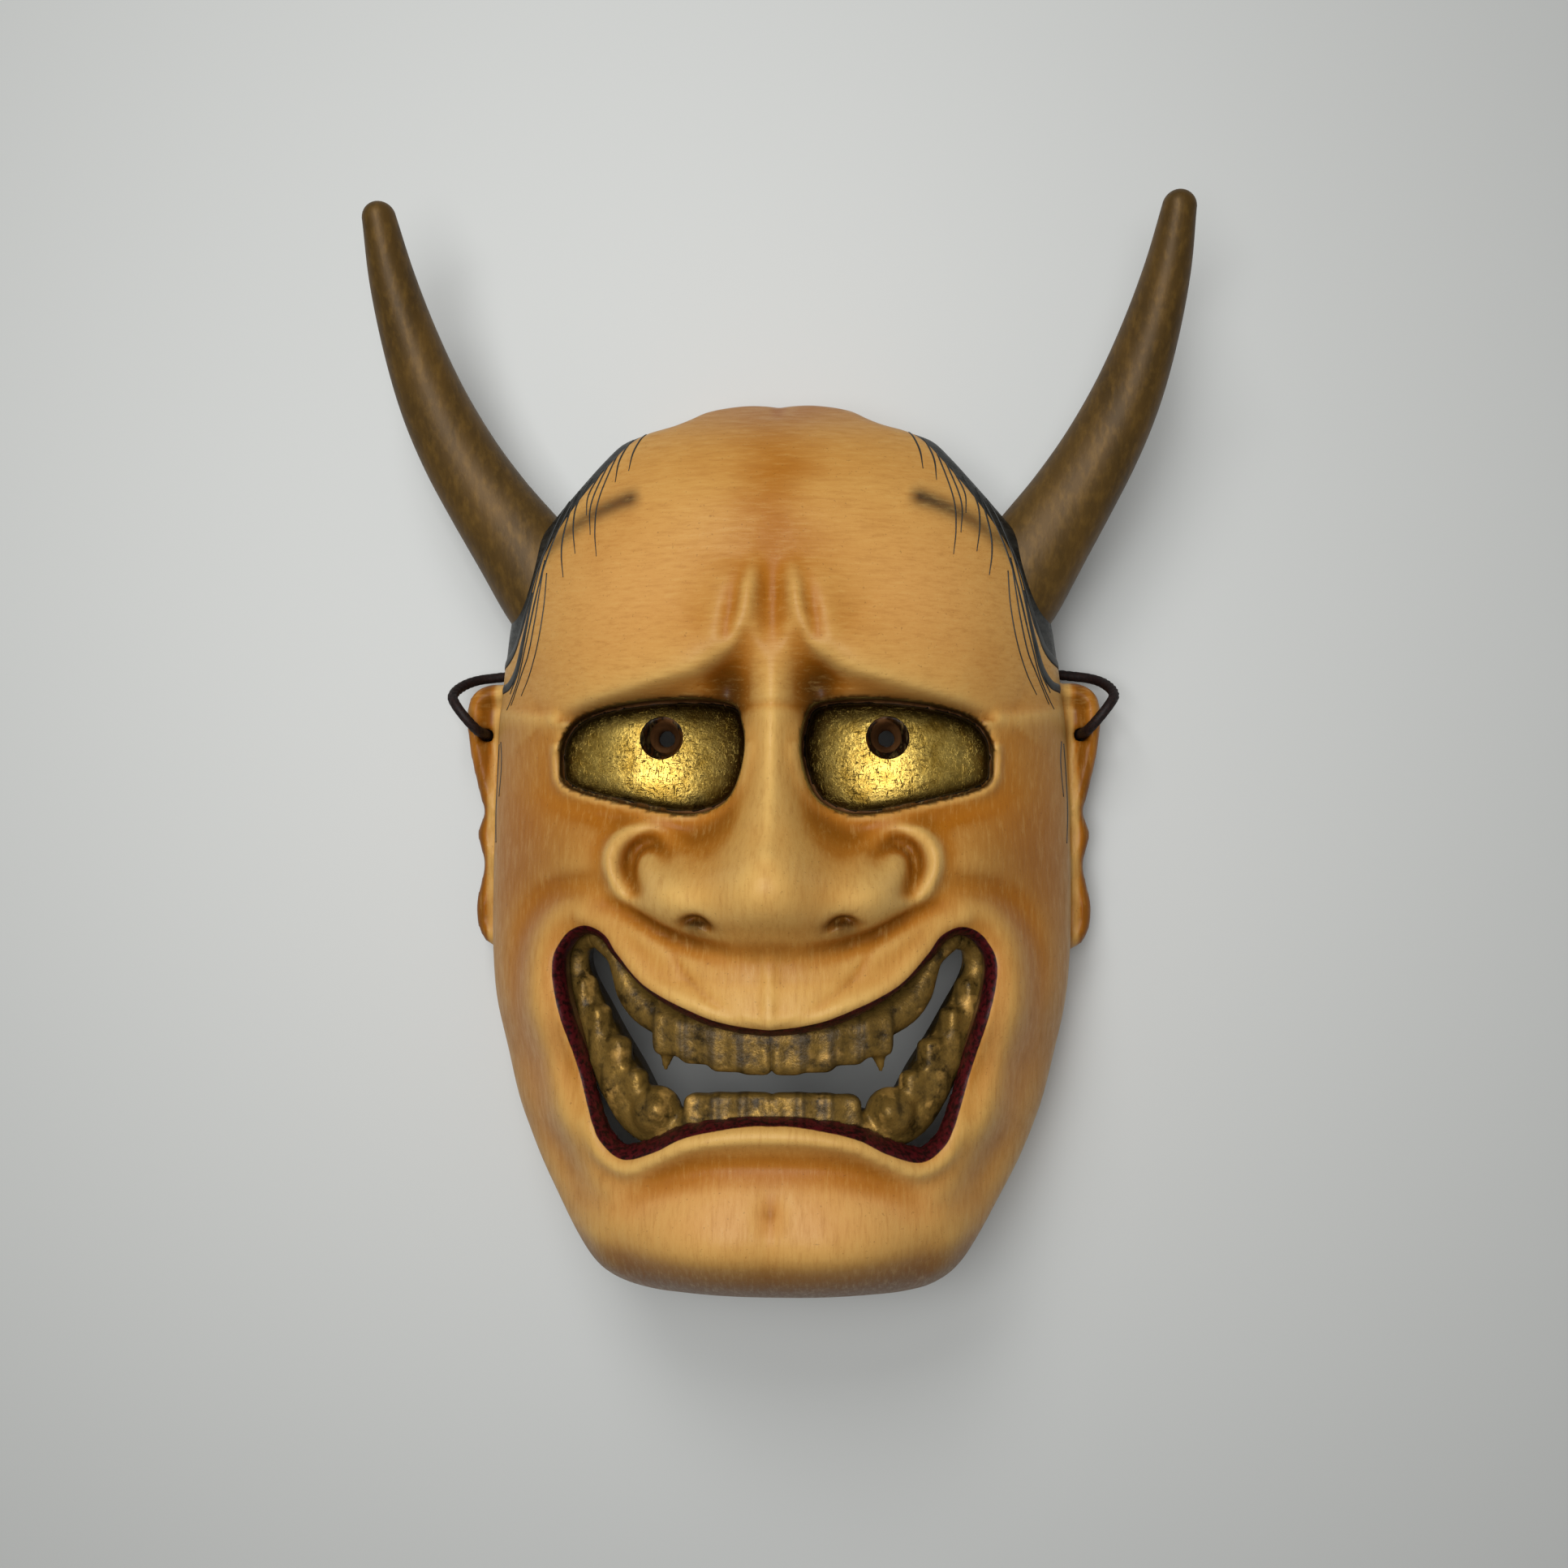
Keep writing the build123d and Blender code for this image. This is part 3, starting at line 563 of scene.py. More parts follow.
def painted_face(points):
    """Colours laid over the carving by hand: glaze in the hollows, worn ridges, warm cheeks and brow, with
    painted shade in the hollows, under the brows, on the face's sides, in the nostrils and pupils and under
    the chin, and painted highlights on the ridges, the nose and the upper lip.
    """
    x, y, z = points.T
    ax = np.abs(x)
    on_front = np.clip((z - FACE(x, y) + 6) / 4, 0, 1)
    cavity = FINE_CAVITY(x, y) * on_front
    broad = BROAD_CAVITY(x, y) * on_front

    colour = np.tile(np.array(PEACH), (len(points), 1))

    def lay(paint, share):
        share = np.clip(share, 0, 1)[:, None]
        colour[:] = colour * (1 - share) + np.array(paint) * share

    wobble = 1.5 * np.sin(y * 0.35 + 0.7) + 1.0 * np.sin(y * 0.83 + x * 0.2)
    lay(OCHRE, 0.85 * np.exp(-(((x + wobble) / 8.5) ** 2)) * ramp(y, 24, 16))
    lay(OCHRE, 0.95 * blob(ax, y, 52, -20, 20, 16) + 0.50 * blob(ax, y, 33, -13, 16, 7))
    lay(BROWN, 0.42 * blob(ax, y, 54, -24, 15, 12))
    lay(OCHRE, 0.40 * blob(ax, y, 66, -50, 12, 40))
    # darker on the face's sides below the temple ridge: glaze, and painted shade where the plane turns away
    lay(OCHRE, 0.55 * ramp(-y, -10.5, 3) * ramp(ax, 46, 6) * ramp(y, -60, 30))
    lay(OCHRE, 0.45 * ramp(y, 60, 22) + 0.3 * blob(x, y, 0, 76, 24, 12))
    # darker towards the chin's bottom: glaze, and painted shade under the chin
    lay(OCHRE, 0.80 * ramp(-y, 103, 9))
    lay(BROWN, 0.85 * ramp(-y, 105, 10))
    lay(PINK, 0.60 * blob(ax, y, 16, -95, 26, 8) + 0.5 * blob(ax, y, 52, -62, 7, 22))
    lay(PINK, 0.35 * blob(ax, y, 34, 36, 22, 22))
    lay(OCHRE, 0.55 * blob(ax, y, 10, 26, 10, 14))
    # glaze pooled in the hollows, which also stands in for their shade, and paler rubbed ridges, which also
    # stand in for their highlights
    lay(OCHRE, np.clip(-0.42 * broad, 0, 0.75))
    lay(OCHRE, np.clip(-0.75 * cavity, 0, 0.8))
    lay(BROWN, np.clip(-0.55 * (cavity + 0.35), 0, 0.7))
    lay(PALE, np.clip(0.85 * cavity, 0, 0.75))
    # painted highlights along the nose's ridge and tip and on the upper lip's swelling
    lay(PALE, 0.35 * blob(x, y, 0, -48, 15, 8) + 0.35 * blob(x, y, 0, -5, 3, 22))
    eye = EYE_DISTANCE(x, y)
    depth = np.clip((FACE(x, y) - z - 0.4) / 1.6, 0, 1)
    lay(UMBER, np.where(eye < 3, 0.95 * np.clip(depth + (eye < 0.35), 0, 1) * ramp(-eye, -1.2, 1.0), 0))
    # dark paint and painted shade under the brow, above the eye and in its inner corner
    lay(UMBER, 0.60 * np.exp(-((np.maximum(eye, 0) / 2.2) ** 2)) * ramp(y, 6, 5) * (ax < 50))
    lay(UMBER, 0.75 * blob(ax, y, 9.4, 15.2, 4.2, 5.0) * (z > 40))
    # painted shade in the nostril grooves under the nose's wings
    lay(BROWN, 0.70 * blob(ax, y, 14.6, -35.0, 5.0, 2.2))
    lay(UMBER, 0.90 * blob(ax, y, 15.2, -34.0, 3.0, 1.1))
    # painted shade down the pupil holes, black on their walls
    pupil = np.hypot(ax - PUPIL[0], y - PUPIL[1])
    lay(PUPIL_SHADE, (pupil < PUPIL_RADIUS + 1.5) * (z < 60))
    # warm glaze between the brows and over the jaws, and under the chin glaze with painted shade, darker
    # towards its bottom
    lay(OCHRE, 0.35 * blob(ax, y, 4, 34, 8, 14) + 0.35 * blob(ax, y, 62, -55, 15, 45))
    lay(BROWN, 0.72 * ramp(-y, 103, 10))
    # high smudged brows
    brow_d, along_brow = nearest(ax, y, smooth_curve(PAINTED_BROW, 6))
    strength = np.interp(along_brow, [0, 0.12, 0.5, 1], [0, 1.0, 0.8, 0.6])
    lay(HAIR_BLACK, 0.92 * np.exp(-((brow_d / 2.2) ** 2)) * strength)
    return colour


def paint_guides(points):
    """Smooth guides that the shader cuts sharp edges from: hair, lips, and bare wood behind."""
    x, y, z = points.T
    hair = 0.5 - HAIR_DISTANCE(x, y) * 0.1
    mouth = MOUTH_DISTANCE(x, y)
    lips = np.where(z > 20, 0.5 - (mouth - 0.2) * 0.1, 0.0)
    behind = 0.5 + 0.1 * np.minimum(-(RIM_DISTANCE(x, y) + 1.5), FACE(x, y) - z - 6.0)
    behind = np.where(z < 0.6, np.maximum(behind, 0.56), behind)
    return np.clip(np.stack([hair, lips, behind], axis=1), 0, 1)


def lacquered_wood():
    """Aged ochre paint over chalk ground, rubbed back, with black hair, red lips and a bare back."""
    n = Nodes("painted_wood")
    base = n.paint("paint")
    guides = n.put("ShaderNodeSeparateColor", {"Color": n.paint("guides")}).outputs
    across = n.noise(430, (0.40, 2.6, 1.0), detail=5, roughness=0.7)
    upright = n.noise(430, (2.6, 0.40, 0.6), detail=5, roughness=0.7)
    front_low = n.put("ShaderNodeSeparateXYZ", {"Vector": n.place()}).outputs["Y"]
    share = n.spread(front_low, 0.008, 0.016)
    strokes = n.plus(n.times(across, share),
                     n.times(upright, n.math("SUBTRACT", 1.0, share)))
    cloud = n.noise(38, detail=3)
    colour = n.mix(n.spread(strokes, 0.50, 0.72, 0, 0.30), base, tone(140, 80, 18))
    colour = n.mix(n.spread(strokes, 0.48, 0.30, 0, 0.22), colour, tone(212, 174, 104))
    colour = n.mix(n.spread(cloud, 0.50, 0.75, 0, 0.28), colour, tone(160, 96, 30))
    colour = n.mix(n.spread(n.noise(1500, detail=2), 0.66, 0.72, 0, 0.30), colour, tone(70, 44, 18))
    hair_edge = n.spread(n.plus(guides[0], n.times(n.noise(700), 0.006)), 0.500, 0.508)
    hair_colour = n.mix(n.spread(n.noise(260, (1, 3, 1)), 0.4, 0.7), HAIR_BLACK, tone(52, 52, 48))
    colour = n.mix(hair_edge, colour, hair_colour)
    lip_edge = n.spread(n.plus(guides[1], n.times(n.noise(420), 0.02)), 0.505, 0.522)
    lip_colour = n.mix(n.spread(n.noise(900, detail=6), 0.42, 0.6), tone(74, 16, 20), tone(30, 8, 8))
    colour = n.mix(lip_edge, colour, lip_colour)
    back_edge = n.spread(guides[2], 0.50, 0.54)
    grain = n.spread(n.noise(45, (6, 0.35, 3), detail=6), 0.35, 0.65)
    wood = n.mix(grain, tone(74, 46, 24), tone(112, 76, 44))
    colour = n.mix(back_edge, colour, wood)
    relief_height = n.plus(n.times(strokes, 0.6), n.times(n.noise(900, detail=3), 0.4))
    normal = n.bump(relief_height, 0.22, 0.0006)
    rough = n.spread(strokes, 0.3, 0.7, 0.34, 0.50)
    return n.finish(Base_Color=colour, Roughness=rough, Normal=normal, Specular_IOR_Level=0.16)


def body_mesh():
    """The carved block, meshed from its field and painted."""
    low = (0.0, -129.0, -2.5)
    high = (81.0, 90.0, 98.0)
    axes = [np.arange(a, b, p) for a, b, p in zip(low, high, VOXEL)]
    x, y = np.meshgrid(axes[0], axes[1], indexing="ij")
    field = np.empty((len(axes[0]), len(axes[1]), len(axes[2])), np.float32)
    for k, height in enumerate(axes[2]):
        field[:, :, k] = carved_field(x, y, np.full(x.shape, height))
    points, faces = surface_net(field, low, VOXEL, mirror=True)
    piece = make_mesh(
        "carved_mask", points, faces, lacquered_wood(),
        colours={"paint": painted_face(points), "guides": paint_guides(points)},
    )
    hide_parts("mask_body")
    return piece


FINE_CAVITY = Map(FACE.values - blur(FACE.values, 4))
BROAD_CAVITY = Map(FACE.values - blur(FACE.values, 14))


# ---- teeth ----
# (x, y, radius) along each gum, behind the lips
UPPER_GUM = [(0, -59.0, 3.6), (8, -58.8, 3.6), (16, -57.8, 3.8), (22.6, -56.4, 4.2), (28.0, -54.0, 4.0),
             (31.4, -50.6, 3.4), (33.4, -46.8, 2.5), (35.6, -43.0, 1.8), (39.8, -39.4, 2.0)]
LOWER_GUM = [(0, -77.2, 2.8), (8, -77.4, 2.8), (16, -78.4, 3.2), (23, -80.6, 4.0), (29.4, -77.6, 5.2),
             (34.0, -70.6, 5.4), (38.0, -63.6, 4.8), (41.4, -56.8, 4.2), (44.2, -50.0, 3.2),
             (45.0, -45.0, 2.7), (43.4, -40.8, 2.3), (39.8, -39.4, 2.0)]
# (x, y, half width, half height, how far it stands forward)
UPPER_TEETH = [(3.3, -62.6, 3.7, 4.7, 0.5), (9.9, -62.2, 3.5, 4.6, 0.5), (16.2, -61.0, 3.5, 4.4, 0.4),
               (22.2, -59.4, 3.6, 4.4, 0.9)]
LOWER_TEETH = [(3.1, -74.8, 3.8, 3.6, 0.2), (9.2, -75.0, 3.8, 3.6, 0.2), (15.2, -75.4, 3.8, 3.6, 0.1),
               (32.6, -70.8, 5.4, 3.5, 0.7), (36.2, -64.2, 4.9, 3.5, 0.7), (40.4, -57.6, 3.9, 3.3, 0.6),
               (43.3, -51.4, 2.9, 3.1, 0.4)]
FANG_TIP = (23.4, -66.6)
CANINE = (25.4, -76.4, 5.5)
TEETH_PITCH = (0.5, 0.5, 0.6)
TEETH_BOX = (0.0, -92.0, 36.0), (54.0, -32.0, 70.0)
TOOTH_DEPTH = 2.6  # from the front of the arch back to the middle of a tooth
FANG_ROOT = (22.3, -59.5)
FANG_RADII = (2.9, 0.6)


def arch_front(x):
    return ARCH_CENTRE_Z + np.sqrt(np.maximum(ARCH_RADIUS**2 - x**2, 0))


def gum_field(x, y, z, route):
    """A rounded bar that follows a route of (x, y, radius) just behind the front of the arch."""
    best = np.full(x.shape, 1e9)
    line = smooth_curve(route, 4)
    for a, b in zip(line, line[1:]):
        ab = b[:2] - a[:2]
        t = np.clip(((x - a[0]) * ab[0] + (y - a[1]) * ab[1]) / (ab @ ab), 0, 1)
        radius = a[2] + t * (b[2] - a[2])
        px, py = a[0] + t * ab[0], a[1] + t * ab[1]
        depth = np.clip(arch_front(px) - radius - z, 0, 5)
        pz = arch_front(px) - radius - depth
        best = np.minimum(best, np.sqrt((x - px) ** 2 + (y - py) ** 2 + (z - pz) ** 2) - radius)
    return best


def tooth_field(x, y, z, tooth):
    """One flat tooth: a rounded block turned to face out of the arch, hollowed a little in front."""
    cx, cy, half_width, half_height, forward = tooth
    turn = math.asin(cx / ARCH_RADIUS)
    cz = arch_front(np.array(cx)) - TOOTH_DEPTH + forward
    u = (x - cx) * math.cos(turn) - (z - cz) * math.sin(turn)
    w = (x - cx) * math.sin(turn) + (z - cz) * math.cos(turn)
    v = y - cy
    flute = 0.6 * np.exp(-((u / (0.55 * half_width)) ** 2)) * (w > 0)
    q = (np.abs(u / half_width) ** 4 + np.abs(v / half_height) ** 4 + np.abs((w + flute) / 2.9) ** 4) ** 0.25
    return (q - 1) * 2.7


def teeth_piece(name, gum, teeth, extras, node):
    """One row: its gum and teeth melted together, with guides for the gum's edge, the gaps between teeth and
    how far forward each point stands.
    """
    axes = [np.arange(a, b, p) for a, b, p in zip(*TEETH_BOX, TEETH_PITCH)]
    x, y, z = np.meshgrid(*axes, indexing="ij")
    field = gum_field(x, y, z, gum)
    for tooth in teeth:
        field = smooth_min(field, tooth_field(x, y, z, tooth), 1.3)
    field = extras(x, y, z, field)
    points, faces = surface_net(field, TEETH_BOX[0], TEETH_PITCH, mirror=True)
    px, py, pz = points.T
    crease = np.clip(gum_field(np.abs(px), py, pz, gum) / 3.0, 0, 1)
    edges = np.ones(len(points))
    for cx, cy, half_width, half_height, _ in teeth:
        gap = np.abs(np.abs(np.abs(px) - cx) - half_width)
        near = np.exp(-((gap / 0.6) ** 2)) * (np.abs(py - cy) < half_height + 1)
        edges = np.minimum(edges, 1 - 0.8 * near)
    front_share = np.clip(0.5 + (pz - arch_front(np.abs(px)) + 3.0) / 5.0, 0, 1)
    guide = np.stack([crease, edges, front_share], axis=1)
    piece = make_mesh(name, points, faces, gilt_tooth(name), colours={"guides": guide})
    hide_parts(node)
    return piece


def upper_extras(x, y, z, field):
    """The fang on each side."""
    base = np.array(FANG_ROOT)
    axis = np.array(FANG_TIP) - base
    t = np.clip(((x - base[0]) * axis[0] + (y - base[1]) * axis[1]) / (axis @ axis), 0, 1)
    cz = arch_front(base[0]) - TOOTH_DEPTH
    distance = np.sqrt((x - base[0] - t * axis[0]) ** 2 + (y - base[1] - t * axis[1]) ** 2 + (z - cz) ** 2)
    return smooth_min(field, distance - (FANG_RADII[0] + (FANG_RADII[1] - FANG_RADII[0]) * t), 0.6)


def lower_extras(x, y, z, field):
    """The round canine on each side, with its blunt tip."""
    cx, cy, radius = CANINE
    cz = arch_front(np.array(cx)) - radius + TOOTH_DEPTH
    crown = ball(x, y, z, (cx, cy, cz), radius)
    tip = np.sqrt((x - cx + 0.4) ** 2 + (y - cy - 1.2) ** 2 + ((z - cz - radius + 1.2) * 0.8) ** 2) - 2.0
    return smooth_min(field, smooth_min(crown, tip, 1.6), 1.0)


def gilt_tooth(name):
    """Worn gilding over dark lacquer, darker between the teeth and further back from the front of the arch.
    """
    n = Nodes(name)
    guides = n.put("ShaderNodeSeparateColor", {"Color": n.paint("guides")}).outputs
    wear = n.noise(240, detail=6, roughness=0.7)
    speckle = n.noise(900, detail=4)
    # the gilding gives way to dark lacquer between the teeth and further back from the front of the arch
    share = n.times(n.spread(wear, 0.36, 0.66), guides[1])
    share = n.times(share, n.spread(guides[2], 0.05, 0.6))
    colour = n.mix(share, tone(54, 40, 13), tone(156, 122, 58))
    colour = n.mix(n.times(n.spread(n.noise(150, detail=4), 0.56, 0.70, 0, 0.8), guides[1]),
                   colour, tone(206, 160, 84))
    colour = n.mix(n.spread(speckle, 0.60, 0.72, 0, 0.5), colour, tone(50, 38, 16))
    metallic = n.spread(share, 0.2, 0.9, 0.15, 0.65)
    normal = n.bump(n.plus(wear, n.times(speckle, 0.5)), 0.5, 0.0006)
    return n.finish(
        Base_Color=colour, Metallic=metallic, Roughness=0.42, Specular_IOR_Level=0.25, Normal=normal)


# ---- eyes ----
def gilt_eye():
    """Burnished gold leaf with fine scratches, darker towards its rim and black at it: painted shade where
    the dome sinks under the lid, with some tarnish.
    """
    n = Nodes("gilt_eye")
    edge = n.put("ShaderNodeSeparateColor", {"Color": n.paint("guides")}).outputs[0]
    leaf = n.noise(210, (1, 1, 1), detail=6, roughness=0.7)
    scratch = n.noise(620, (2.6, 0.7, 1), detail=6, distortion=1.8)
    scratch_b = n.noise(620, (0.7, 2.6, 1), detail=6, distortion=1.8)
    gold = n.mix(n.spread(leaf, 0.35, 0.65), tone(168, 134, 54), tone(222, 190, 100))
    # darker towards the rim: painted shade where the dome sinks under the lid, and tarnish in patches
    tarnish_and_shade = n.plus(n.spread(edge, 0.08, 0.55, 0.9, 0.0), n.spread(leaf, 0.56, 0.76, 0, 0.4))
    gold = n.mix(tarnish_and_shade, gold, tone(58, 44, 16))
    scratched = n.math("MAXIMUM", n.spread(scratch, 0.58, 0.68), n.spread(scratch_b, 0.59, 0.69))
    gold = n.mix(n.times(scratched, 0.65), gold, tone(64, 48, 16))
    # black at the rim itself: painted shade in the gap under the lid
    gold = n.mix(n.spread(edge, 0.085, 0.06), gold, tone(10, 9, 8))
    height = n.math("SUBTRACT", n.times(leaf, 0.8), n.times(scratched, 0.5))
    height = n.plus(height, n.times(n.noise(1100, detail=4), 0.35))
    metallic = n.spread(edge, 0.06, 0.10)
    return n.finish(Base_Color=gold, Metallic=metallic, Roughness=0.40, Normal=n.bump(height, 0.55, 0.0006))


PLATE_THICKNESS = 0.8
EYE_RINGS, EYE_SIDES = 30, 144
EYE_UNDER_LID = 0.7  # how far the plate reaches under the socket's edge


def eye_piece(side, name, material):
    """A thin gilt dome over the eyeball, from the pupil's edge out to the socket."""
    outline = smooth_curve(EYE_OUTLINE, 14, closed=True)
    centre = np.array(PUPIL)
    angle = np.arctan2(outline[:, 1] - centre[1], outline[:, 0] - centre[0])
    order = np.argsort(angle)
    angle, outline = angle[order], outline[order]
    count, rings = EYE_SIDES, EYE_RINGS
    at = np.linspace(-math.pi, math.pi, count, endpoint=False)
    reach = np.interp(at, angle, np.hypot(*(outline - centre).T), period=2 * math.pi) + EYE_UNDER_LID
    points = []
    for ring in range(rings + 1):
        share = (ring / rings) ** 0.8
        r = PUPIL_RADIUS + (reach - PUPIL_RADIUS) * share
        x, y = centre[0] + r * np.cos(at), centre[1] + r * np.sin(at)
        z = EYEBALL_CENTRE[2] + np.sqrt(
            EYEBALL_RADIUS**2 - (x - EYEBALL_CENTRE[0]) ** 2 - (y - EYEBALL_CENTRE[1]) ** 2
        )
        edge = EYE_DISTANCE(x, y)
        z = z - 2.0 * ramp(edge, -2.6, 3.2) ** 2
        points.append(np.stack([side * x, y, z], axis=1))
    front = np.vstack(points)
    behind = np.array([0, 0, PLATE_THICKNESS])
    all_points = np.vstack([front, front - behind, points[0], points[0] - behind])
    shift = len(front)
    face = np.roll(ring_quads(rings + 1, count)[:, ::-1], 1, axis=1)
    k = rings * count + np.arange(count)
    j = rings * count + (np.arange(count) + 1) % count
    rim = np.stack([j, k, k + shift, j + shift], axis=1)
    faces = np.vstack([face, face[:, ::-1] + shift, ring_quads(2, count) + 2 * shift, rim])
    if side < 0:
        faces = faces[:, ::-1]
    guide = np.clip(-EYE_DISTANCE(all_points[:, 0], all_points[:, 1]) / 10, 0, 1)[:, None]
    piece = make_mesh(name, all_points, faces, material, colours={"guides": guide})
    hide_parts(name.replace("gilt_", ""))
    return piece


# ---- horns ----
HORN_SPINE = [(54.6, 41.5, 27.2), (61.5, 51.5, 29), (68.4, 61.6, 30.8), (75, 72.6, 33.4), (80.4, 84.2, 36.8),
              (84.6, 97, 41), (87.6, 110, 45.8), (89.2, 122.2, 50.8)]
HORN_RADII = [12.4, 11.2, 10.0, 8.9, 7.8, 6.6, 5.3, 3.8]
HORN_ROOT = (48.0, 32.0, 25.4)  # the painted horn runs on into the head


def tube(path, radii, sides, shape=None):
    """Rings of points along a path, with frames carried along it, and the quads between them."""
    path = np.asarray(path, float)
    tangents = np.gradient(path, axis=0)
    tangents /= np.linalg.norm(tangents, axis=1)[:, None]
    normal = np.cross(tangents[0], [0.0, 0.0, 1.0])
    if np.linalg.norm(normal) < 0.1:
        normal = np.cross(tangents[0], [0.0, 1.0, 0.0])
    turn = np.linspace(0, 2 * math.pi, sides, endpoint=False)
    rings = []
    for k, (place, along_it) in enumerate(zip(path, tangents)):
        normal = normal - along_it * (normal @ along_it)
        normal /= np.linalg.norm(normal)
        other = np.cross(along_it, normal)
        r = radii[k] * (1.0 if shape is None else shape(k, turn))
        r = np.broadcast_to(r, turn.shape)[:, None]
        rings.append(place + r * (np.cos(turn)[:, None] * normal + np.sin(turn)[:, None] * other))
    return np.vstack(rings), ring_quads(len(path), sides)


def closed_tube(path, radii, sides, shape=None):
    """A tube whose two ends are drawn in to a point."""
    path = np.asarray(path, float)
    points, faces = tube(path, radii, sides, shape)
    first, last = len(points), len(points) + 1
    points = np.vstack([points, path[0], path[-1]])
    j = np.arange(sides)
    n = (j + 1) % sides
    end = (len(path) - 1) * sides
    caps = [np.stack([np.full(sides, first), n, j, j], axis=1),
            np.stack([np.full(sides, last), end + j, end + n, end + n], axis=1)]
    return points, faces, np.vstack(caps)[:, :3]


def mixed_mesh(name, points, quads, triangles, material):
    """A piece in metres from points in millimetres, quads and triangles."""
    mesh = bpy.data.meshes.new(name)
    faces = [tuple(map(int, f)) for f in quads] + [tuple(map(int, f)) for f in triangles]
    mesh.from_pydata([tuple(p) for p in np.asarray(points, float) * MM], [], faces)
    mesh.validate()
    mesh.polygons.foreach_set("use_smooth", np.ones(len(mesh.polygons), bool))
    return add_piece(name, mesh, material)


def gilt_horn():
    """Dull worn gilding over dark lacquer, brushed along the horn."""
    n = Nodes("gilt_horn")
    streak = n.noise(60, (1.6, 0.5, 0.8), detail=6, roughness=0.65)
    fine = n.noise(520, (1.2, 0.5, 1), detail=5)
    colour = n.mix(n.spread(streak, 0.30, 0.70), tone(70, 50, 14), tone(98, 71, 26))
    colour = n.mix(n.spread(fine, 0.46, 0.70, 0, 0.4), colour, tone(126, 94, 38))
    colour = n.mix(n.spread(n.noise(230, detail=5), 0.60, 0.76, 0, 0.35), colour, tone(58, 42, 16))
    normal = n.bump(n.plus(fine, n.times(streak, 0.6)), 0.2, 0.0004)
    return n.finish(Base_Color=colour, Metallic=0.25, Roughness=0.52, Specular_IOR_Level=0.35, Normal=normal)


def horn_piece(side, name, material):
    spine = smooth_curve([(*p, r) for p, r in zip([HORN_ROOT] + HORN_SPINE, HORN_RADII[:1] + HORN_RADII)], 14)
    path, radii = spine[:, :3] * np.array([side, 1, 1]), spine[:, 3]
    tip = path[-1] - path[-2]
    tip /= np.linalg.norm(tip)
    steps = np.linspace(0.12, 1, 9)
    bulge = np.sin(steps * math.pi / 2)
    path = np.vstack([path, path[-1] + bulge[:, None] * tip * radii[-1]])
    radii = np.concatenate([radii, radii[-1] * np.sqrt(np.maximum(1 - bulge**2, 0.0004))])

    def facets(k, turn):
        return 1 + 0.018 * np.cos(3 * turn + 0.05 * k) + 0.012 * np.sin(2 * turn + 0.11 * k)

    points, quads, caps = closed_tube(path, radii, 64, facets)
    piece = mixed_mesh(name, points, quads, caps, material)
    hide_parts(name.replace("gilt_", ""))
    return piece


# ---- hair ----
# (x, y, half width) along each painted lock and strand of the right half
LOCKS = [
    [(51.0, 54.6, 0.2), (55.4, 44.2, 0.28), (58.6, 34, 0.38), (60.2, 29.6, 0.55), (61.9, 26.2, 0.8),
     (64.3, 24, 1.05),
     (67.0, 23.2, 1.15)],
    [(56.2, 39, 0.22), (57.6, 32.8, 0.32), (59.0, 27.6, 0.45), (60.9, 21.8, 0.65), (63.6, 18.2, 0.95),
     (66.8, 17.4, 1.1)],
    [(48.2, 60.4, 0.18), (52.9, 49.4, 0.2), (55.7, 39.4, 0.2), (57.9, 29.8, 0.2), (60.3, 21.4, 0.2),
     (63.2, 16.2, 0.12)],
    [(53.0, 46.2, 0.15), (54.0, 39, 0.17), (55.2, 32, 0.17), (57, 25, 0.17), (59.2, 20.5, 0.15),
     (62.8, 13.4, 0.09)],
    [(53.2, 45.2, 0.15), (55, 37.6, 0.18), (56.6, 31.4, 0.18), (58.4, 25.4, 0.18), (60.6, 18.9, 0.15),
     (64.2, 12.4, 0.09)],
    [(52.2, 43, 0.13), (52.6, 35.4, 0.14), (54.1, 27.4, 0.14), (56.6, 20.4, 0.13), (59.4, 15.4, 0.08)],
    [(45.4, 62.4, 0.2), (49.4, 54.2, 0.22), (52.6, 46, 0.22), (55, 38, 0.2), (56.8, 31, 0.12)],
    [(42.4, 65, 0.22), (45.2, 58.8, 0.22), (45.7, 53, 0.18), (44.8, 46.6, 0.08)],
    [(46.2, 60.8, 0.22), (48.2, 51.4, 0.22), (48.4, 46.6, 0.18), (47.6, 41.4, 0.08)],
    [(39.6, 66.8, 0.2), (42.4, 60.4, 0.18), (42.5, 55.4, 0.08)],
    [(38.4, 67.8, 0.2), (41.5, 58, 0.18), (41.2, 50.6, 0.08)],
    [(36.4, 70.2, 0.2), (39.7, 58.8, 0.17), (40.1, 51.6, 0.16), (39.4, 45.4, 0.07)],
    [(30.4, 76, 0.22), (32.4, 70.4, 0.22), (33.0, 65.4, 0.08)],
    [(33.4, 74.6, 0.22), (35.6, 68.4, 0.22), (36.0, 62.8, 0.08)],
    [(66.4, 5, 0.1), (66.2, 0, 0.12), (67.0, -8, 0.06)],
    [(67.2, 4.5, 0.1), (68.0, -3, 0.12), (68.4, -11, 0.12), (67.8, -19, 0.06)],
]


def settle(points, lift):
    """Points moved on to the carved surface, and then off it by a small lift."""
    p = points.copy()
    for _ in range(5):
        f = carved_field(*p.T) - lift
        rise = [carved_field(*(p + step).T) - carved_field(*(p - step).T) for step in np.eye(3) * 0.2]
        slope = np.stack(rise, axis=1) / 0.4
        p -= slope * (f / np.maximum((slope**2).sum(axis=1), 0.2))[:, None]
    return p


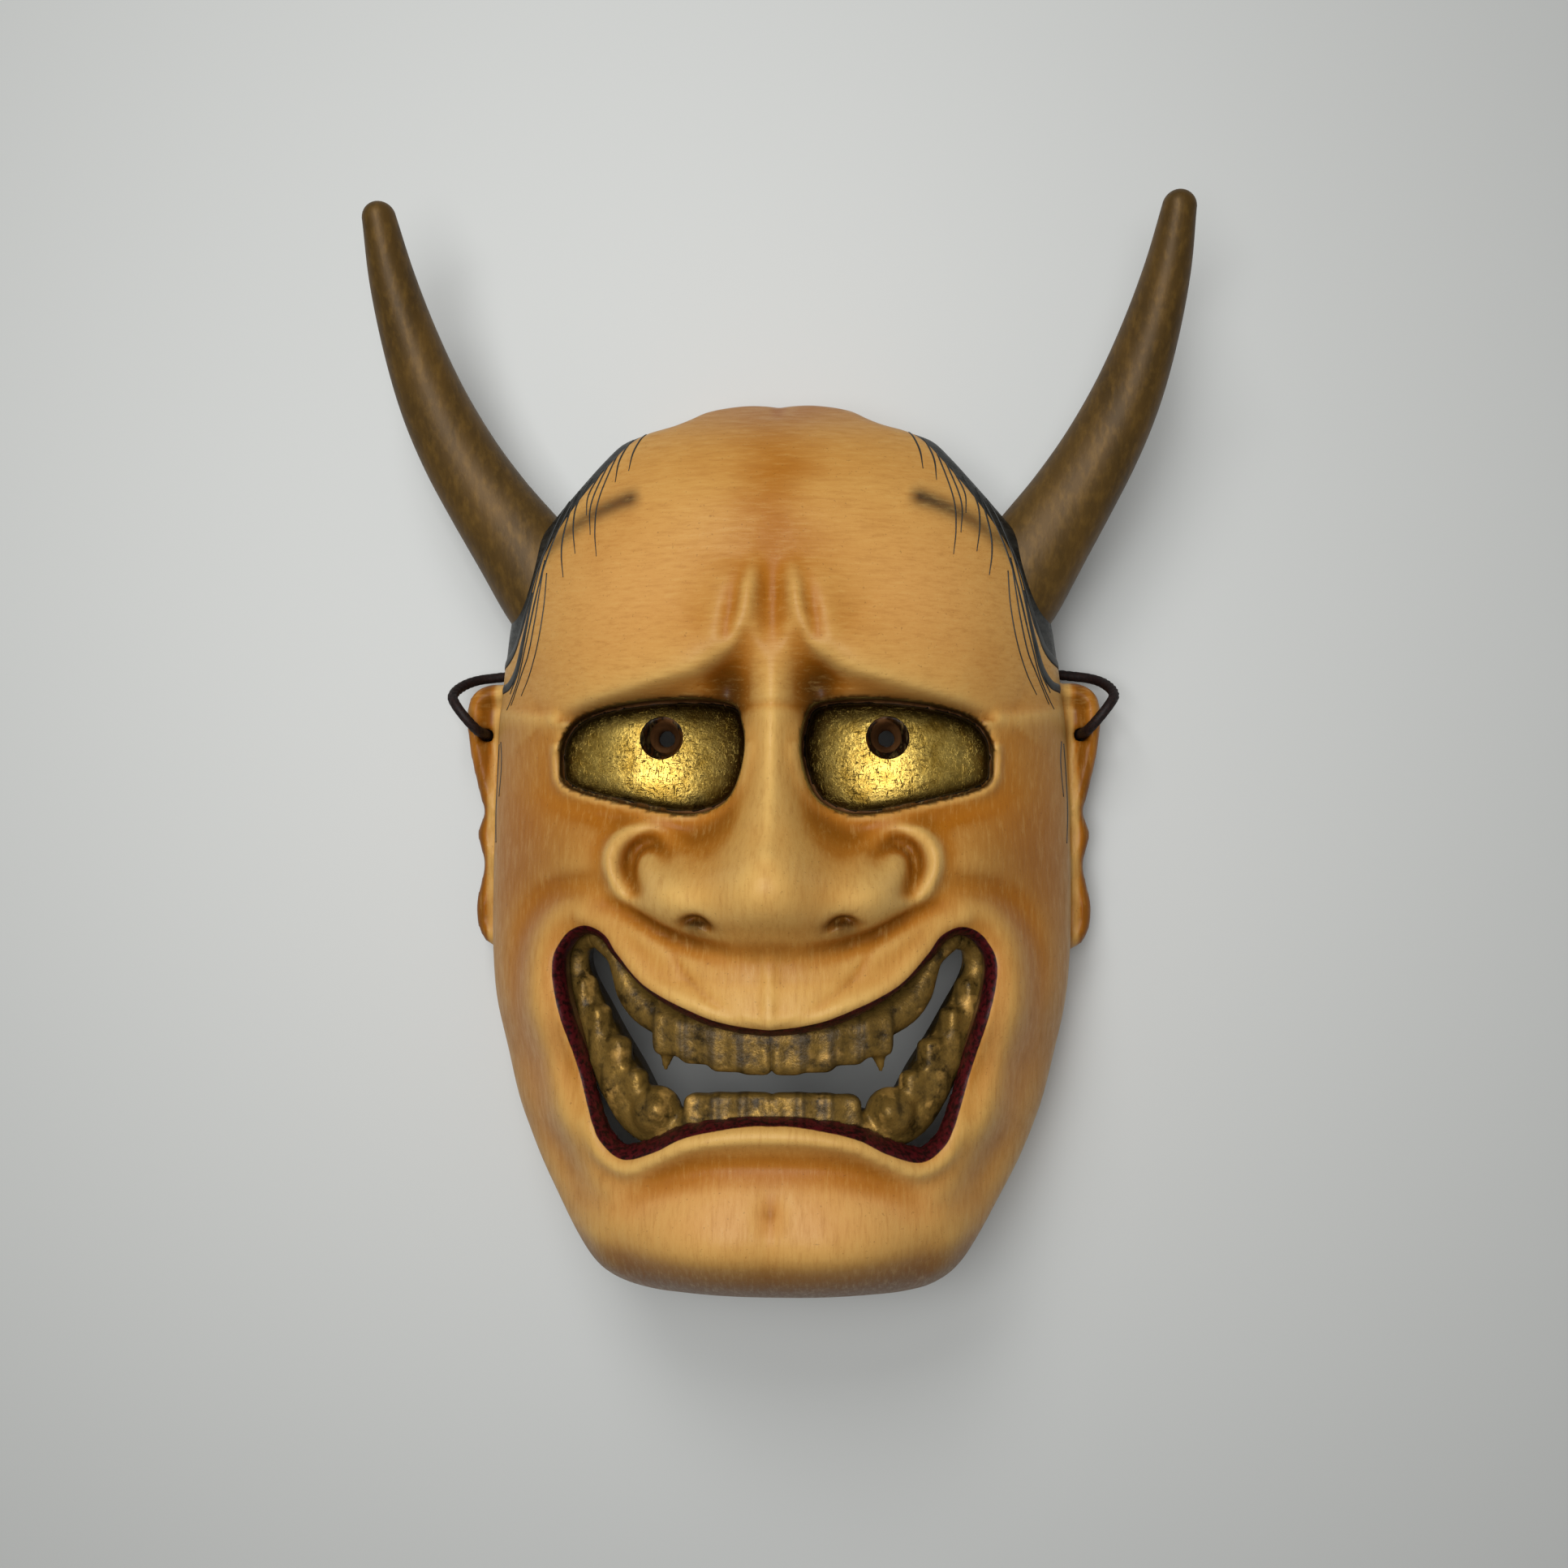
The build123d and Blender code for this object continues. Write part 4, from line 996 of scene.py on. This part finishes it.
def painted_locks():
    """Locks and strands of hair, as thin ribbons of paint on the wood."""
    across = np.array([-1.0, -0.5, 0.0, 0.5, 1.0, 0.0])
    lift = np.array([0.02, 0.13, 0.16, 0.13, 0.02, -0.3])
    points, quads, total = [], [], 0
    for lock in LOCKS:
        line = smooth_curve(lock, 10)
        way = np.gradient(line[:, :2], axis=0)
        way /= np.linalg.norm(way, axis=1)[:, None]
        normal = np.stack([-way[:, 1], way[:, 0]], axis=1)
        at = line[:, None, :2] + normal[:, None, :] * (across[None, :, None] * line[:, 2, None, None])
        x, y = at.reshape(-1, 2).T
        ribbon = settle(np.stack([x, y, FACE(x, y)], axis=1), np.tile(lift, len(line)))
        rings, sides = len(line), len(across)
        start = np.array([(5, 4, 1, 0), (4, 3, 2, 1)])
        faces = np.vstack([ring_quads(rings, sides), start, (rings - 1) * sides + start[:, ::-1]])
        for side in (1, -1):
            points.append(ribbon * np.array([side, 1, 1]))
            quads.append((faces if side < 0 else faces[:, ::-1]) + total)
            total += len(ribbon)
    n = Nodes("hair_ink")
    colour = n.mix(n.spread(n.noise(300), 0.4, 0.7), HAIR_BLACK, tone(50, 50, 46))
    material = n.finish(Base_Color=colour, Roughness=0.5)
    return make_mesh("painted_locks", np.vstack(points), np.vstack(quads), material)


# ---- cords ----
CORD_DIAMETER = 2.4
CORD_ROUTE = [(73, 7, 7), (73, 7, 20), (75.3, 9.9, 23.8), (78.6, 14, 23.8), (80.8, 17, 19.6),
              (78, 20.8, 10.4), (70.8, 22, 6), (62.4, 23.2, 3.4), (53.6, 26, 1.8), (48.4, 31.4, 1.4),
              (47, 38.6, 1.4)]
COIL_CENTRE = (24.6, 37.0)
COIL_RADII = (22.4, 19.8, 17.2)
COIL_LAYERS = (1.35, 3.85)
TURN_POINTS = 16
COIL_START = 22  # degrees
# (degrees, radius, height) of the way from the coil out to the end knot
COIL_END = [(22, 22.4, 3.85), (44, 22.8, 3.85), (66, 24.0, 3.6), (84, 25.2, 3.1)]
END_KNOT = (19.4, 62.6, 2.7)
PLAIT_STEP, PLAIT_LAY, PLAIT_STRANDS = 0.6, 7.0, 4


def eased(t):
    t = np.clip(t, 0, 1)
    return t * t * (3 - 2 * t)


def coil_points():
    """Three rings inwards on the floor, then three outwards on top of them."""
    rings = list(COIL_RADII) + list(COIL_RADII[::-1])
    points = []
    start = math.radians(COIL_START)
    for turn, radius in enumerate(rings):
        following = rings[min(turn + 1, len(rings) - 1)]
        for k in range(TURN_POINTS):
            share = k / TURN_POINTS
            step = eased((share - 0.72) / 0.28)
            r = radius + (following - radius) * step
            climbed = step if turn == 2 else float(turn > 2)
            z = COIL_LAYERS[0] + (COIL_LAYERS[1] - COIL_LAYERS[0]) * climbed
            angle = start + 2 * math.pi * share
            points.append((COIL_CENTRE[0] + r * math.cos(angle), COIL_CENTRE[1] + r * math.sin(angle), z))
    for angle, r, z in COIL_END:
        a = math.radians(angle)
        points.append((COIL_CENTRE[0] + r * math.cos(a), COIL_CENTRE[1] + r * math.sin(a), z))
    points.append(END_KNOT)
    return points


def cord_path(side):
    """Points of the cord's own smooth line, in metres."""
    route = CORD_ROUTE + coil_points()
    curve = bpy.data.curves.new("cord_line", "CURVE")
    curve.dimensions = "3D"
    spline = curve.splines.new("NURBS")
    spline.points.add(len(route) - 1)
    for point, (x, y, z) in zip(spline.points, route):
        point.co = (side * x * MM, y * MM, z * MM, 1)
    spline.order_u = 3
    spline.use_endpoint_u = True
    spline.resolution_u = 10
    holder = bpy.data.objects.new("cord_line", curve)
    mesh = bpy.data.meshes.new_from_object(holder)
    path = np.array([v.co[:] for v in mesh.vertices])
    bpy.data.objects.remove(holder)
    bpy.data.curves.remove(curve)
    return path


def braid_material():
    """Dark wine-coloured silk."""
    n = Nodes("cord_silk")
    thread = n.noise(2400, detail=3)
    colour = n.mix(n.spread(thread, 0.4, 0.65), tone(10, 6, 5), tone(40, 19, 15))
    normal = n.bump(thread, 0.4, 0.0002)
    return n.finish(Base_Color=colour, Roughness=0.62, Specular_IOR_Level=0.3, Normal=normal)


def resample(path, step):
    """Points at an even step along a path."""
    gaps = np.linalg.norm(np.diff(path, axis=0), axis=1)
    at = np.concatenate([[0], np.cumsum(gaps)])
    wanted = np.arange(0, at[-1], step)
    return np.stack([np.interp(wanted, at, path[:, k]) for k in range(3)], axis=1)


def cord_piece(side, name, material):
    path = cord_path(side)
    fine = resample(path / MM, PLAIT_STEP)

    def plait(k, turn):
        s = k * PLAIT_STEP / PLAIT_LAY * 2 * math.pi
        right = np.abs(np.sin(PLAIT_STRANDS * (turn - s) / 2))
        left = np.abs(np.sin(PLAIT_STRANDS * (turn + s) / 2))
        return 0.84 + 0.24 * np.maximum(right, left) ** 2

    points, quads, caps = closed_tube(fine, np.full(len(fine), CORD_DIAMETER / 2), 12, plait)
    piece = mixed_mesh(name, points, quads, caps, material)
    hand = "right" if side > 0 else "left"
    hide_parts("cord_" + hand, "cord_coil_" + hand)
    return piece


KNOT_RINGS, KNOT_SIDES = 28, 40


def knot_piece(name, centre, radius, height, material, node):
    """A tied knot: a squat ball wound with the cord's own plait."""
    rise = np.linspace(0, math.pi, KNOT_RINGS + 1)[:, None]
    turn = np.linspace(0, 2 * math.pi, KNOT_SIDES, endpoint=False)[None, :]
    wind = 0.5 * np.abs(np.sin(2 * turn + 2.2 * rise)) + 0.5 * np.abs(np.sin(3 * rise + turn))
    r = 0.86 + 0.16 * wind
    offset = [radius * r * np.sin(rise) * np.cos(turn), radius * r * np.sin(rise) * np.sin(turn),
              -height / 2 * r * np.cos(rise)]
    points = np.stack(offset, axis=-1).reshape(-1, 3) + np.array(centre)
    piece = mixed_mesh(name, points, ring_quads(KNOT_RINGS + 1, KNOT_SIDES), [], material)
    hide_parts(node)
    return piece


# ---- putting it together ----
body_mesh()
eye_material, horn_material, cord_material = gilt_eye(), gilt_horn(), braid_material()
teeth_piece("gilt_upper_teeth", UPPER_GUM, UPPER_TEETH, upper_extras, "upper_teeth")
teeth_piece("gilt_lower_teeth", LOWER_GUM, LOWER_TEETH, lower_extras, "lower_teeth")
painted_locks()
for side, hand in ((1, "right"), (-1, "left")):
    eye_piece(side, "gilt_eye_" + hand, eye_material)
    horn_piece(side, "gilt_horn_" + hand, horn_material)
    knot = knot_piece("knot_" + hand, (side * 73, 7, 5.9), 3.5, 4.8, cord_material, "cord_knot_" + hand)
    end = knot_piece("end_knot_" + hand, (side * END_KNOT[0], *END_KNOT[1:]), 2.6, 5.2, cord_material,
                     "cord_end_" + hand)
    cord_piece(side, "braided_cord_" + hand, cord_material)
peg_wood = Nodes("peg_wood")
peg_colour = peg_wood.mix(peg_wood.spread(peg_wood.noise(60, (6, 1, 6), detail=5), 0.35, 0.65),
                          tone(150, 110, 66), tone(190, 150, 100))
peg_wood.finish(Base_Color=peg_colour, Roughness=0.6)
for hand in ("left", "right"):
    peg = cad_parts["horn_peg_" + hand]
    peg.data.materials.clear()
    peg.data.materials.append(peg_wood.material)


# ---- table, light and camera ----
def add_light(name, place, aim, size, power, shape_y=None, spread=180):
    light = bpy.data.lights.new(name, "AREA")
    light.energy = power
    light.shape = "RECTANGLE"
    light.size, light.size_y = size, shape_y or size
    light.spread = math.radians(spread)
    lamp = bpy.data.objects.new(name, light)
    bpy.context.scene.collection.objects.link(lamp)
    lamp.location = place
    lamp.rotation_euler = (Vector(aim) - Vector(place)).to_track_quat("-Z", "Y").to_euler()
    return lamp


def table():
    n = Nodes("table")
    n.finish(Base_Color=tone(206, 208, 206), Roughness=0.6)
    mesh = bpy.data.meshes.new("table")
    r = 3.0
    mesh.from_pydata([(-r, -r, 0), (r, -r, 0), (r, r, 0), (-r, r, 0)], [], [(0, 1, 2, 3)])
    mesh.materials.append(n.material)
    floor = bpy.data.objects.new("table", mesh)
    bpy.context.scene.collection.objects.link(floor)


def camera():
    lean = math.radians(CAMERA_LEAN)
    data = bpy.data.cameras.new("camera")
    data.sensor_width, data.lens = 36.0, 36.0
    cam = bpy.data.objects.new("camera", data)
    bpy.context.scene.collection.objects.link(cam)
    target = Vector(CAMERA_TARGET) * MM
    away = Vector((math.sin(lean), 0, math.cos(lean)))
    cam.location = target + away * CAMERA_DISTANCE * MM
    cam.rotation_euler = (0, lean, 0)
    bpy.context.scene.camera = cam


CAMERA_TARGET = (0.8, -5.0, 20.0)
CAMERA_DISTANCE = 380.0
CAMERA_LEAN = 2.3
table()
camera()
world = bpy.data.worlds.new("room")
bpy.context.scene.world = world
world.use_nodes = True
world.node_tree.nodes["Background"].inputs[0].default_value = (1.0, 0.99, 0.97, 1)
world.node_tree.nodes["Background"].inputs[1].default_value = 0.17
add_light("window", (-0.12, 0.44, 0.66), (-0.02, -0.02, 0), 0.30, 1.0, spread=120)
add_light("ceiling", (-0.055, 0.03, 0.62), (-0.03, -0.01, 0), 0.26, 0.98, spread=120)
bpy.context.scene.view_settings.view_transform = "Standard"
